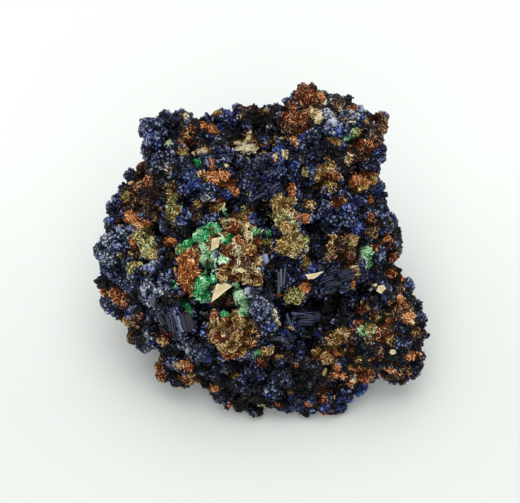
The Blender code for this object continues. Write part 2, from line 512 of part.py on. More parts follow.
def add_chisel(bm, matrix, width, thickness, length):
    """A small crystal that stands on matrix's Z axis: a flat prism under a roof-like edge."""
    w, t, half = width / 2, thickness / 2, length / 2
    foot = [bm.verts.new(matrix @ Vector((x, y, -half))) for x, y in ((-w, -t), (w, -t), (w, t), (-w, t))]
    shoulder = [
        bm.verts.new(matrix @ Vector((x, y, 0.45 * half))) for x, y in ((-w, -t), (w, -t), (w, t), (-w, t))
    ]
    ridge = [bm.verts.new(matrix @ Vector((x, 0.0, half))) for x in (-0.6 * w, 0.6 * w)]
    bm.faces.new(list(reversed(foot)))
    for i in range(4):
        j = (i + 1) % 4
        bm.faces.new((foot[i], foot[j], shoulder[j], shoulder[i]))
    bm.faces.new((shoulder[0], shoulder[1], ridge[1], ridge[0]))
    bm.faces.new((shoulder[2], shoulder[3], ridge[0], ridge[1]))
    bm.faces.new((shoulder[1], shoulder[2], ridge[1]))
    bm.faces.new((shoulder[3], shoulder[0], ridge[0]))


def add_plates(bm):
    """Sets the large azurite plates on the display face."""
    for across, up, out, length, width, thickness, turn, tip in PLATES:
        pose = (
            Matrix.Translation(on_face(across, up, out))
            @ face_turn()
            @ Matrix.Rotation(math.radians(turn), 4, "Z")
            @ Matrix.Rotation(math.radians(tip), 4, "X")
        )
        add_plate(bm, pose, length * MM, width * MM, thickness * MM)


def add_druse(bm, rng):
    """Stands small crystals on the azurite lumps, pointing away from each lump's middle."""
    square_out = face_turn().to_3x3() @ Vector((0.0, 0.0, 1.0))
    for lumps in AZURITE_LUMPS.values():
        for across, up, out, radius in lumps:
            share = DRUSE_PER_LUMP * (radius / 2.0) ** 2 if radius > DRUSE_BEARING else 0.0
            count = int(share) + (rng.random() < share % 1)
            for _ in range(count):
                way = Vector([rng.gauss(0.0, 1.0) for _ in range(3)]).normalized()
                way = (way + 0.9 * square_out).normalized()
                root = on_face(across, up, out) + way * (radius - 0.25) * MM
                length = rng.uniform(*DRUSE_LENGTH) * MM
                width = rng.uniform(*DRUSE_WIDTH) * MM
                spin = Matrix.Rotation(rng.uniform(0.0, math.pi), 4, "Z")
                stand = way.to_track_quat("Z", "Y").to_matrix().to_4x4()
                pose = Matrix.Translation(root) @ stand @ spin
                add_chisel(bm, pose, width, width * rng.uniform(*DRUSE_FLATNESS), length)


def centre_over_base(rock):
    """Moves the specimen so that its extent is centred over the origin."""
    spots = np.array([vertex.co for vertex in rock.data.vertices])
    middle = (spots.min(axis=0) + spots.max(axis=0)) / 2
    rock.data.transform(Matrix.Translation((-middle[0], -middle[1], 0.0)))


def azurite_material():
    """Dark blue, half-glossy azurite."""
    material = bpy.data.materials.new("azurite")
    material.use_nodes = True
    shader = material.node_tree.nodes["Principled BSDF"]
    shader.inputs["Base Color"].default_value = (0.016, 0.024, 0.085, 1.0)
    shader.inputs["Roughness"].default_value = 0.45
    shader.inputs["Metallic"].default_value = 0.0
    return material


def main():
    """Builds the specimen as one solid."""
    clear_scene()
    rng = random.Random(SEED)
    rock = build_lumps(rng)
    add_knobs(rock, rng)
    carve_pits(rock)
    roughen(rock)
    split_into_triangles(rock)
    thin_out(rock, True, DISPLAY_FACES)
    thin_out(rock, False, PLAIN_FACES)
    crystals = bmesh.new()
    add_plates(crystals)
    add_druse(crystals, rng)
    combine(rock, object_from(crystals, "crystals"), "UNION", self_crossing=True)
    cut_base(rock)
    keep_outer_skin(rock)
    centre_over_base(rock)
    rock.data.materials.clear()
    rock.data.materials.append(azurite_material())


main()
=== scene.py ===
"""The azurite specimen's fine surface: granules, blades, crusts and crumbs grown over its form.

Lengths in the classes are in millimetres unless they say otherwise. Meshes are made in metres.
Places on the display side are given in its own frame: across to the right, up along the leaning
face, and out, square out of it, as read from a fixed distance in front of it."""

import json
import logging
import math
import random
from collections.abc import Sequence
from dataclasses import dataclass, field
from enum import Enum
from typing import Any

import bmesh
import bpy
import numpy as np
from mathutils import Matrix, Vector, noise
from mathutils.bvhtree import BVHTree

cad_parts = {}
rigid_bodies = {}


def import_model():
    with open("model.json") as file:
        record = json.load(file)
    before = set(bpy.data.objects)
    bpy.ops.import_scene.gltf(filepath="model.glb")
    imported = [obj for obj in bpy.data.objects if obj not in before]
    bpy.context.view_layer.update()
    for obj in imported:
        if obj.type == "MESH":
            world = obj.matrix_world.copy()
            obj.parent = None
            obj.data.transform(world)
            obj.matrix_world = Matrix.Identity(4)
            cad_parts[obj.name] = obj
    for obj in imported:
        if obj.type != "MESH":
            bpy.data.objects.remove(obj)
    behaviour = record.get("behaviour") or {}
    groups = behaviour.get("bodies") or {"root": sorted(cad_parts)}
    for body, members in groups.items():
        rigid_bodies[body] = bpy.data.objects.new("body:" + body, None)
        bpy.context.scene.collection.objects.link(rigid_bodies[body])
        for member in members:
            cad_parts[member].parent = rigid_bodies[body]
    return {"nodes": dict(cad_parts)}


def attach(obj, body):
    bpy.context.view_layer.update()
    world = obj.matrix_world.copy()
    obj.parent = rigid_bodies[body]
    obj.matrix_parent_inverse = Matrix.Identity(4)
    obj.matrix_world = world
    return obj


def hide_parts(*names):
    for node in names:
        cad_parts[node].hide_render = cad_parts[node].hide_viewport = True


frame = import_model()

MM = 0.001  # a millimetre in metres
LUMP = 2.3  # mm, the width of the lumps that the skin and the minerals share
LUMP_SHIFT = 2.0  # which of the many patterns of lumps it is
FRONT_REACH = -9.5  # mm, how far behind the face's origin the display side reaches
HASH_WAY = (12.9898, 78.233, 37.719)  # with the next value, it makes a place into a random number
HASH_SPREAD = 43758.5453
NODE = "azurite_specimen"
BODY = "root"
CARD = "OFBake"
log = logging.getLogger("azurite")


class Mineral(Enum):
    """What a grain is made of, which is also its row on the colour card, from the bottom up."""

    NAVY = 0
    COBALT = 1
    STEEL = 2
    SOOT = 3
    PLUM = 4
    UMBER = 5
    RUST = 6
    ORANGE = 7
    OCHRE = 8
    OLIVE = 9
    CREAM = 10
    EMERALD = 11
    MINT = 12


class Family(Enum):
    """Minerals that grow in the same shapes."""

    AZURITE = 0
    IRON = 1
    EARTH = 2
    GREEN = 3


class Side(Enum):
    """Which way a stretch of the surface faces."""

    DISPLAY = 0
    REST = 1


MEMBERS = {
    Family.AZURITE: (Mineral.NAVY, Mineral.COBALT, Mineral.STEEL),
    Family.IRON: (Mineral.SOOT, Mineral.PLUM, Mineral.UMBER, Mineral.RUST, Mineral.ORANGE),
    Family.EARTH: (Mineral.OCHRE, Mineral.OLIVE, Mineral.CREAM),
    Family.GREEN: (Mineral.EMERALD, Mineral.MINT),
}
FAMILY_OF = {mineral: family for family, members in MEMBERS.items() for mineral in members}


@dataclass(frozen=True)
class Shade:
    """A mineral's colours along its tone: from the painted shade at the bottom of a crevice, through the
    tones that grains have at random, to the painted highlight on a grain's bright tip, as sRGB hex.
    """

    deep: str
    body: str
    light: str
    tip: str
    roughness: float


SHADES = {
    Mineral.NAVY: Shade("010206", "0b1021", "2b3558", "98a2bc", 0.28),
    Mineral.COBALT: Shade("03061a", "121c4a", "2c4488", "8a9ed0", 0.28),
    Mineral.STEEL: Shade("050709", "222a38", "666f7e", "c8cdd4", 0.28),
    Mineral.SOOT: Shade("010101", "050508", "121216", "46464c", 0.34),
    Mineral.PLUM: Shade("040203", "1a0e10", "362222", "786058", 0.5),
    Mineral.UMBER: Shade("070403", "301e14", "624630", "a08668", 0.66),
    Mineral.RUST: Shade("100503", "562613", "94502e", "cc9e78", 0.78),
    Mineral.ORANGE: Shade("2c1206", "985224", "c8824c", "ecc8a0", 0.8),
    Mineral.OCHRE: Shade("171006", "6e4f22", "aa8548", "dfc698", 0.82),
    Mineral.OLIVE: Shade("13130a", "625c2c", "9e9656", "d8d4a2", 0.82),
    Mineral.CREAM: Shade("302818", "a49264", "e2d6ac", "fbf6e4", 0.78),
    Mineral.EMERALD: Shade("042c0f", "1c8c49", "58c482", "b2eac2", 0.6),
    Mineral.MINT: Shade("24502a", "90c894", "cceec6", "f4fce8", 0.7),
}


def recipe(**shares: float) -> dict[Mineral, float]:
    """Writes a mix of minerals as the share of each, named in small letters."""
    return {Mineral[name.upper()]: share for name, share in shares.items()}


class Zone(Enum):
    """A recipe of minerals, as the share of each in a stretch of the surface."""

    BLUE = recipe(navy=0.6, cobalt=0.06, steel=0.03, soot=0.25, umber=0.03, ochre=0.02, rust=0.01)
    INDIGO = recipe(navy=0.76, cobalt=0.13, steel=0.03, soot=0.08)
    FROST = recipe(steel=0.46, navy=0.5, cobalt=0.04)
    SLATE = recipe(steel=0.6, navy=0.3, cobalt=0.1)
    TAN = recipe(ochre=0.42, orange=0.4, cream=0.18)
    AMBER = recipe(orange=0.36, umber=0.3, ochre=0.34)
    LIME = recipe(olive=0.54, ochre=0.16, mint=0.3)
    BRIGHT = recipe(navy=0.64, cobalt=0.26, steel=0.1)
    # Painted shade: near-black grains laid in the crevices, pits and basin where the specimen lies in
    # shade.
    DARK = recipe(soot=0.74, navy=0.18, umber=0.08)
    GLITTER = recipe(umber=0.3, steel=0.36, cream=0.06, soot=0.14, plum=0.14)
    ASH = recipe(soot=0.42, steel=0.24, navy=0.14, umber=0.1, rust=0.1)
    SMOKY = recipe(umber=0.34, plum=0.28, steel=0.22, rust=0.16)
    MAROON = recipe(plum=0.34, soot=0.24, umber=0.18, rust=0.18, ochre=0.06)
    BROWN = recipe(umber=0.4, rust=0.3, ochre=0.18, soot=0.12)
    GLOBE = recipe(rust=0.32, ochre=0.36, umber=0.24, orange=0.08)
    KHAKI = recipe(ochre=0.44, umber=0.34, olive=0.12, rust=0.1)
    TAWNY = recipe(ochre=0.6, rust=0.06, umber=0.28, orange=0.06)
    RUST = recipe(rust=0.62, umber=0.2, orange=0.1, soot=0.08)
    ORANGE = recipe(orange=0.76, rust=0.2, ochre=0.04)
    OCHRE = recipe(ochre=0.76, umber=0.08, rust=0.1, cream=0.06)
    OLIVE = recipe(olive=0.66, ochre=0.24, umber=0.06, mint=0.04)
    CREAM = recipe(cream=0.86, ochre=0.14)
    GREEN = recipe(emerald=0.84, mint=0.06, olive=0.1)
    MINT = recipe(mint=0.84, emerald=0.07, cream=0.09)
    TEAL = recipe(mint=0.5, steel=0.28, cobalt=0.22)
    SPONGE = recipe(ochre=0.38, rust=0.26, umber=0.14, cream=0.18, mint=0.04)
    TOWER = recipe(ochre=0.8, olive=0.1, cream=0.06, rust=0.04)
    LOBE = recipe(navy=0.1, soot=0.42, umber=0.26, rust=0.1, ochre=0.08, orange=0.04)
    RIM = recipe(navy=0.32, soot=0.6, umber=0.04, rust=0.02, steel=0.02)


# Each zone's patches as (across, up, half width, half height) and, where they are turned, their turn
# in degrees. Later patches lie over earlier ones.
PATCHES: list[tuple[Zone, list[tuple[float, ...]]]] = [
    (Zone.RIM, [(0.0, -24.5, 16.0, 5.0), (-12.0, -22.0, 7.0, 4.0), (3.0, 23.0, 8.0, 2.6)]),
    (Zone.LOBE, [(22.0, -16.5, 8.5, 9.0), (14.5, -20.0, 6.0, 5.6), (24.0, -4.0, 2.6, 4.0)]),
    (Zone.MAROON, [
        (-22.0, 10.4, 4.4, 4.4), (-19.4, 6.8, 1.5, 2.2), (-18.6, -15.8, 1.9, 2.0), (-1.8, 25.0, 3.0, 1.3),
        (4.0, -18.6, 2.3, 1.2), (-13.6, 21.6, 1.6, 3.0), (17.6, 18.0, 2.6, 2.6)]),
    (Zone.BROWN, [
        (-4.0, 19.6, 7.6, 1.4), (-13.6, 19.4, 2.0, 1.8), (-12.5, -6.5, 2.2, 4.0), (20.0, 4.4, 1.6, 2.6),
        (-1.9, -15.4, 1.5, 2.8), (10.8, -25.2, 1.4, 1.2), (-7.0, -9.0, 2.8, 1.6)]),
    (Zone.SMOKY, [(20.4, 22.4, 2.8, 3.0)]),
    (Zone.ASH, [(-22.2, -16.0, 2.8, 2.6), (-18.0, 14.0, 2.0, 2.4), (-8.6, 19.8, 2.4, 1.6)]),
    (Zone.GLITTER, [
        (12.6, 25.8, 3.0, 1.9), (14.6, 24.0, 3.4, 1.4), (7.2, 16.0, 1.3, 1.2), (-17.0, 13.0, 1.0, 2.0),
        (-13.8, 23.2, 1.3, 1.3), (9.4, -20.6, 1.6, 1.0)]),
    # Painted shade in the crevices, pits and the basin.
    (Zone.DARK, [
        (11.5, -11.0, 6.4, 3.8), (17.6, -7.6, 2.8, 1.5), (7.6, -16.0, 2.6, 2.6), (2.5, -15.8, 2.6, 1.0),
        (0.9, -0.6, 1.0, 3.0, 8), (1.8, -3.4, 1.6, 2.0), (0.2, 8.0, 1.6, 2.6), (-5.4, 7.6, 2.0, 1.0),
        (9.0, 2.6, 1.4, 3.4), (7.6, 11.6, 1.2, 3.0), (15.6, 14.0, 1.5, 1.5), (13.6, 17.2, 1.6, 1.1),
        (-18.0, 19.0, 1.0, 1.9), (-6.4, 20.9, 2.8, 0.9), (-1.2, 23.4, 2.2, 1.2), (-23.0, -9.4, 1.4, 2.2),
        (-20.8, -3.1, 1.4, 0.9), (-17.0, -8.8, 1.7, 1.5), (-9.2, -20.8, 2.8, 1.6),
        (-15.3, -18.8, 1.3, 0.9), (-11.2, -3.6, 0.7, 2.0), (18.6, -18.0, 2.0, 1.6),
        (-6.4, -7.4, 1.8, 0.5), (-10.2, 7.0, 1.0, 1.0)]),
    (Zone.INDIGO, [
        (-20.0, 20.6, 2.6, 3.6), (-16.2, 22.8, 1.7, 1.5), (-7.0, 22.8, 2.4, 1.1), (-7.2, 17.2, 2.6, 1.2),
        (-17.8, -1.4, 1.5, 1.8), (-14.2, 6.0, 2.0, 1.6), (-2.4, -22.6, 2.2, 1.9), (11.6, 6.2, 2.6, 1.4),
        (13.0, -5.6, 3.4, 2.0), (4.6, -4.9, 2.8, 1.9), (-12.0, -17.2, 2.4, 1.6), (0.6, 12.6, 4.2, 2.6),
        (14.0, -27.6, 2.4, 1.6), (5.6, -27.4, 2.6, 1.6)]),
    (Zone.BRIGHT, [
        (-12.8, 12.6, 1.9, 2.6), (8.4, 19.2, 2.4, 1.9), (4.6, 15.8, 2.0, 2.0), (1.2, 15.4, 1.0, 1.0),
        (13.0, 21.4, 1.5, 1.0), (17.0, 6.8, 2.8, 1.6), (-18.4, -4.0, 2.3, 1.2), (-20.4, -6.2, 1.0, 1.8),
        (-23.4, -5.2, 1.5, 1.3), (1.5, -25.6, 1.7, 1.3), (25.2, -13.4, 1.1, 1.2), (21.6, -9.4, 1.1, 1.8),
        (8.0, -12.0, 2.2, 1.5), (18.8, 1.8, 0.9, 1.0), (-11.2, -18.0, 1.2, 1.2)]),
    (Zone.SLATE, [
        (-9.2, 9.9, 2.5, 0.9), (0.0, -10.8, 4.6, 2.1, -62), (-18.1, -7.0, 0.9, 0.9),
        (-19.6, -8.8, 0.9, 1.9, 10), (-24.6, 2.0, 1.3, 1.1), (0.6, 21.0, 1.6, 1.6),
        (-27.4, -10.4, 1.0, 1.8, 34), (-10.8, -19.3, 1.3, 0.6)]),
    (Zone.FROST, [
        (-26.4, 0.2, 3.0, 3.4), (-18.4, -3.0, 2.0, 2.2), (-20.0, -8.0, 1.6, 2.6), (-22.6, -5.2, 1.6, 1.4),
        (-12.4, -17.6, 2.2, 1.4), (0.2, -10.4, 3.6, 1.8, -60)]),
    (Zone.RUST, [
        (8.6, 27.8, 3.2, 2.6), (5.6, 23.6, 2.8, 3.7), (17.2, 19.2, 1.4, 1.0), (19.8, 19.2, 1.3, 0.7),
        (-28.2, -7.5, 1.0, 1.2), (-16.4, 1.3, 1.4, 0.9), (23.7, -1.6, 1.0, 1.0), (23.4, -4.2, 1.1, 0.9),
        (-22.0, -13.8, 0.9, 0.6), (-17.0, -15.6, 0.8, 1.2), (-18.5, -20.8, 1.0, 1.6),
        (-17.6, -22.8, 1.0, 0.9), (-0.2, -20.4, 1.3, 0.9), (-5.7, -27.8, 0.8, 0.8),
        (3.3, -27.8, 1.2, 0.6), (11.0, -27.0, 1.2, 0.9), (18.7, -23.0, 1.8, 1.8), (7.4, 5.6, 1.1, 1.0),
        (22.3, -15.0, 1.2, 1.0), (19.5, 5.6, 0.8, 0.8), (-1.6, -13.6, 1.0, 0.6)]),
    (Zone.GLOBE, [(-6.1, -14.6, 5.3, 4.7), (18.0, -10.3, 1.6, 1.2)]),
    (Zone.OCHRE, [(-5.5, -17.8, 3.1, 2.1), (-8.5, -13.7, 1.3, 1.2)]),
    (Zone.RUST, [(-7.4, -15.6, 1.7, 0.8, -10), (-9.2, -11.6, 1.8, 0.9)]),
    (Zone.KHAKI, [
        (-8.2, 7.6, 1.5, 1.2), (-11.9, 8.0, 0.8, 0.9), (-11.7, 6.1, 0.9, 0.8), (-2.7, 7.2, 1.1, 1.2),
        (14.0, 0.4, 2.7, 2.6), (-24.6, 9.4, 1.3, 1.0)]),
    (Zone.BROWN, [(22.3, -15.6, 2.2, 2.4), (24.2, -10.6, 2.0, 1.8)]),
    (Zone.TAWNY, [(11.7, 13.0, 2.5, 2.6), (12.8, 15.2, 1.4, 1.0), (8.3, 8.2, 1.3, 1.0)]),
    (Zone.AMBER, [(18.3, 12.4, 3.1, 2.0, 22), (-23.6, 5.6, 1.8, 1.4)]),
    (Zone.RUST, [(-25.6, -8.6, 1.3, 2.5, 32)]),
    (Zone.ORANGE, [
        (-9.8, 22.2, 1.9, 0.8, -28), (-21.8, 4.7, 1.8, 1.1), (-7.5, 12.8, 2.7, 1.4, -22),
        (-5.3, 10.9, 0.9, 1.7, 28), (-9.1, 15.2, 0.7, 1.4, -14), (16.2, 25.4, 1.0, 0.7),
        (24.8, -9.0, 1.0, 0.9), (26.8, -11.4, 1.1, 0.8), (23.0, -12.9, 0.7, 0.9), (12.8, -18.2, 1.0, 0.9),
        (26.8, -18.8, 1.0, 1.4), (14.0, -22.7, 1.2, 0.7), (13.4, -21.1, 0.8, 0.8), (8.2, -27.8, 0.8, 0.7),
        (5.4, 10.9, 0.9, 1.1), (22.6, 2.2, 0.9, 1.0), (20.5, 0.4, 1.1, 0.8, -30), (19.4, 9.0, 0.6, 0.9),
        (-13.4, -3.4, 2.4, 4.4, 4), (7.9, -6.8, 1.4, 1.2), (23.2, -21.9, 1.2, 0.5),
        (-13.4, -20.8, 1.2, 1.0)]),
    (Zone.TAN, [
        (-14.2, 17.6, 1.3, 0.8), (-10.4, 17.8, 1.1, 0.6), (-23.6, 12.1, 0.9, 0.6, 20),
        (0.5, 17.6, 1.1, 0.7), (2.4, 16.8, 0.7, 0.7), (5.9, 19.4, 0.7, 1.0), (4.0, 20.3, 0.8, 0.6),
        (12.9, 19.5, 1.4, 0.6), (15.6, 16.3, 0.8, 1.0), (18.7, 23.2, 0.7, 0.9), (11.8, 16.6, 0.8, 0.5),
        (3.1, -8.1, 0.9, 0.5), (16.6, -23.6, 0.6, 1.2, 20), (17.0, -21.3, 0.9, 0.9),
        (5.2, -25.6, 0.6, 0.5), (-25.2, -1.0, 0.9, 0.7), (26.6, -13.1, 0.7, 1.6, 34),
        (-15.4, -20.8, 0.7, 0.7), (-26.0, 5.2, 0.6, 0.6), (-8.3, -24.9, 0.8, 0.8),
        (16.2, -6.4, 0.6, 1.2)]),
    (Zone.OCHRE, [
        (-10.7, 13.1, 1.0, 1.2), (-8.4, 24.6, 1.4, 0.8), (-11.2, 23.6, 0.9, 0.6), (1.0, -18.3, 1.3, 1.0),
        (13.0, -16.0, 2.2, 1.4), (14.4, -14.8, 1.7, 0.7), (10.2, -18.7, 1.5, 1.3), (14.0, 8.6, 1.7, 1.1),
        (-12.7, -23.2, 1.8, 1.1), (-2.3, 20.4, 0.9, 1.1), (5.2, 9.0, 1.1, 0.6), (-5.0, -22.5, 0.9, 0.7)]),
    (Zone.TOWER, [
        (3.4, 8.4, 1.9, 1.7), (3.7, 6.0, 2.8, 2.1), (5.1, 1.0, 2.9, 3.1), (7.8, -2.2, 1.0, 1.8)]),
    (Zone.SPONGE, [(-4.2, 0.3, 4.1, 6.4)]),
    # Painted shade in the crevice beside the sponge.
    (Zone.DARK, [(0.9, -0.4, 0.8, 2.6, 6)]),
    (Zone.OCHRE, [
        (-6.6, -4.7, 1.6, 1.4), (-1.2, -4.8, 1.6, 1.6), (-0.4, 0.4, 0.5, 1.4), (-4.8, 6.0, 1.8, 0.9)]),
    (Zone.RUST, [
        (-5.2, 4.0, 1.2, 1.3), (-3.8, 2.0, 0.9, 0.9), (-1.0, 1.5, 0.7, 1.2), (-2.2, -1.2, 1.1, 0.9),
        (-5.2, -2.0, 0.8, 1.0), (-4.8, -5.4, 0.8, 0.9)]),
    (Zone.OLIVE, [
        (-16.3, 6.8, 1.2, 2.6), (-16.2, 9.8, 1.4, 0.9), (-21.2, 2.5, 1.9, 1.4), (-20.5, 0.2, 1.7, 1.8),
        (-23.2, -2.8, 0.8, 2.3, -46), (5.2, 4.2, 1.9, 1.4), (1.2, 1.6, 1.1, 0.8), (-6.6, 5.2, 1.0, 0.9),
        (5.8, -8.4, 2.2, 1.6), (7.9, 14.0, 0.7, 0.9), (7.9, 1.2, 0.5, 1.6), (21.0, -12.4, 0.6, 0.7)]),
    (Zone.LIME, [(18.8, -14.5, 1.5, 1.6), (-15.0, 7.6, 0.7, 0.8), (16.7, 21.1, 1.1, 0.9)]),
    (Zone.GREEN, [
        (-9.1, 3.9, 1.7, 1.4), (-11.4, 2.5, 2.0, 1.4, 22), (-13.6, 1.0, 1.7, 1.0, 34),
        (-15.3, -0.4, 1.2, 0.8, 34), (-9.6, -5.2, 1.4, 1.6), (-10.9, -7.6, 1.7, 2.3),
        (-15.9, -6.3, 0.8, 1.0), (-14.9, -8.9, 0.8, 0.8), (-13.3, -10.7, 0.8, 1.6, 34),
        (-11.5, 15.5, 0.9, 0.9), (-6.8, -11.5, 0.8, 0.6), (-1.2, 3.3, 1.0, 0.7), (1.0, 3.2, 1.0, 0.7),
        (0.4, -3.1, 0.6, 0.7), (-1.0, -18.6, 0.6, 0.7), (-5.9, 1.9, 0.9, 0.8)]),
    (Zone.MINT, [
        (-9.4, -1.5, 1.8, 3.1, 8), (-9.0, 1.7, 0.8, 1.2), (-7.2, -1.8, 1.2, 0.7),
        (-3.7, -9.2, 1.2, 3.7, 18), (15.3, 20.3, 1.0, 0.5, 35), (18.9, -2.5, 0.8, 1.1),
        (-12.0, 3.0, 1.6, 0.4, 24), (-6.8, 6.9, 0.4, 1.2, 24), (-16.7, 19.4, 0.7, 0.7)]),
    (Zone.TEAL, [(18.8, -0.9, 1.0, 1.6)]),
    (Zone.CREAM, [
        (-7.6, -6.9, 1.6, 1.2, 30), (-3.1, 18.2, 2.3, 0.9), (-3.9, 19.3, 1.4, 0.6),
        (-3.0, 16.5, 0.9, 0.5), (-17.2, 11.5, 0.8, 0.5), (10.1, 24.2, 0.9, 1.6), (8.9, 24.9, 0.5, 0.9),
        (4.0, 17.3, 0.5, 0.8), (-9.0, 1.0, 0.7, 1.5), (-7.8, 2.5, 1.4, 0.5, 8), (-4.3, -1.2, 0.5, 2.0, 4),
        (-3.9, -3.7, 1.0, 0.5), (-1.2, -3.4, 0.5, 1.6, 40), (-2.5, 3.0, 0.5, 1.4, 30),
        (-6.8, 0.2, 1.0, 0.4, -30), (-1.4, -5.9, 1.2, 0.4, -20), (-4.3, 0.4, 1.0, 0.5),
        (2.6, -12.4, 0.5, 2.2, 22), (16.4, -3.2, 0.9, 0.5), (0.2, -12.8, 0.8, 0.4)]),
]

# Painted light and shade over broad patches of the display side, partly the minerals' own lighter or
# darker
# tone: (across, up, half width, half height, factor).
BROAD_LIGHT_AND_TONES = [
    (-26.0, 0.0, 3.5, 3.5, 1.4), (-18.5, -4.0, 3.0, 4.0, 1.4), (-22.0, -16.0, 3.0, 2.5, 0.85),
    (0.0, -25.0, 9.0, 4.0, 0.75), (9.0, -26.0, 6.0, 4.0, 0.68), (17.0, -18.0, 3.5, 3.5, 0.88),
    (9.0, -13.0, 4.0, 3.5, 0.72), (6.0, -17.5, 3.5, 2.0, 0.8), (13.0, -5.5, 4.0, 2.2, 0.8),
    (0.0, 12.0, 4.5, 3.2, 0.82), (8.4, 18.0, 3.5, 3.0, 0.84), (0.0, -10.6, 2.6, 3.0, 1.12),
    (18.5, 5.0, 4.5, 3.0, 1.15), (-18.5, 20.0, 3.0, 3.0, 0.93), (18.0, 18.0, 3.0, 2.6, 0.82),
    (-22.0, 9.5, 3.2, 3.2, 0.82), (7.0, 25.4, 3.8, 4.6, 0.82), (13.0, -15.5, 2.5, 1.8, 0.85),
    (24.5, -10.0, 2.5, 3.0, 1.35), (-5.5, -14.0, 4.0, 3.0, 1.02), (-3.3, 18.2, 2.4, 1.2, 1.15),
    (14.0, 0.6, 2.8, 2.6, 1.3), (-3.6, -9.3, 1.6, 3.6, 1.25), (-23.0, -5.0, 2.0, 2.0, 0.74),
    (-12.0, -18.0, 2.4, 2.0, 0.78), (3.2, 7.6, 2.2, 1.8, 0.92), (12.6, 25.4, 3.2, 2.4, 1.8),
    (-19.0, -3.6, 2.6, 3.0, 1.4), (-23.4, 5.4, 2.2, 1.6, 1.25), (-20.0, -17.0, 5.0, 5.0, 1.14),
    (14.0, -5.6, 4.2, 2.2, 0.8), (8.0, -12.4, 2.8, 2.0, 0.78), (-10.8, 3.0, 3.2, 1.6, 0.84),
    (18.3, 12.4, 2.6, 1.8, 0.68), (-3.3, 18.2, 1.8, 1.0, 1.4), (-16.2, -12.6, 2.6, 3.0, 0.88),
    (-12.8, 12.6, 2.2, 2.8, 0.8), (-23.4, 5.4, 1.8, 1.3, 1.3), (1.3, -25.4, 1.6, 1.2, 1.7),
    (-20.0, 20.6, 2.4, 3.0, 1.1), (18.8, -0.8, 1.1, 1.7, 1.25), (20.5, 22.5, 2.6, 2.6, 1.25),
    (-3.4, -0.8, 3.4, 4.2, 1.3),
]


@dataclass(frozen=True)
class Book:
    """A group of parallel azurite leaves: where it stands, and how its leaves lie.

    Across and up give its middle, length and stand each leaf's size, and pitch the distance between
    leaves. Turn is their direction in the face, tip how far they are laid over (0 shows their flat
    sides and 90 their edges), fan the turn from the first leaf to the last, and bow how far each is
    bent. Lift is how far the middle stands out of the surface, mineral what most leaves are made of,
    and cut how far their ends are rounded down.
    """

    across: float
    up: float
    length: float
    stand: float
    leaves: int
    pitch: float
    turn: float
    tip: float = 84.0
    fan: float = 0.0
    bow: float = 0.0
    lift: float = 0.5
    mineral: Mineral = Mineral.NAVY
    cut: float = 0.45


BOOKS = [
    Book(-14.9, -12.9, 5.2, 1.8, 1, 0.5, 106, 10, 2, 0.0, 0.9, Mineral.NAVY, 0.1),
    Book(-15.9, -12.7, 5.6, 1.0, 3, 0.36, 107, 70, 3, 0.0, 1.1, Mineral.STEEL, 0.12),
    Book(-16.9, -13.2, 5.0, 0.8, 2, 0.4, 109, 56, 3, 0.0, 0.7, Mineral.NAVY, 0.12),
    Book(-18.2, -12.3, 4.0, 1.6, 2, 0.4, 114, 24, 0, 0.3, 1.0, Mineral.STEEL, 0.5),
    Book(-0.9, 9.9, 3.6, 0.9, 5, 0.34, 34, 72, 16, 0.2, 0.4),
    Book(1.8, 10.9, 4.2, 0.9, 6, 0.34, 44, 74, 18, 0.2, 0.4),
    Book(12.4, -5.4, 4.0, 1.0, 8, 0.32, 18, 70, 16, 0.2, 0.4),
    Book(15.4, -4.4, 3.2, 0.9, 6, 0.32, 24, 66, 14, 0.2, 0.3),
    Book(11.8, -7.2, 3.2, 0.9, 3, 0.34, 22, 70, 14, 0.2, 0.4),
    Book(3.4, -5.2, 4.2, 1.1, 3, 0.6, 91, 82, 4, 0.0, 0.7, Mineral.STEEL, 0.12),
    Book(8.0, -12.2, 4.2, 1.3, 5, 0.42, 2, 66, 4, 0.0, 0.6, Mineral.NAVY, 0.12),
    Book(7.8, -15.0, 3.4, 1.2, 3, 0.5, -4, 54, 6, 0.0, 0.5, Mineral.SOOT, 0.15),
    Book(3.4, -16.2, 3.8, 0.8, 2, 0.36, -18, 62, 6, 0.3, 0.5, Mineral.STEEL, 0.3),
    Book(5.3, -13.2, 3.2, 0.8, 2, 0.4, 112, 66, 6, 0.2, 0.4, Mineral.NAVY, 0.3),
    Book(-19.8, -9.6, 3.4, 1.0, 3, 0.4, 108, 62, 10, 0.2, 0.4, Mineral.STEEL),
    Book(-20.6, -5.4, 3.4, 0.9, 4, 0.34, 60, 62, 14, 0.3, 0.3),
    Book(-10.8, -19.3, 2.8, 0.9, 3, 0.4, 4, 60, 8, 0.2, 0.3),
    Book(17.2, 6.8, 3.0, 0.9, 5, 0.32, 150, 66, 12, 0.2, 0.3),
    Book(-6.7, -21.7, 2.2, 0.7, 2, 0.3, -12, 60, 12, 0.2, 0.4, Mineral.STEEL),
]

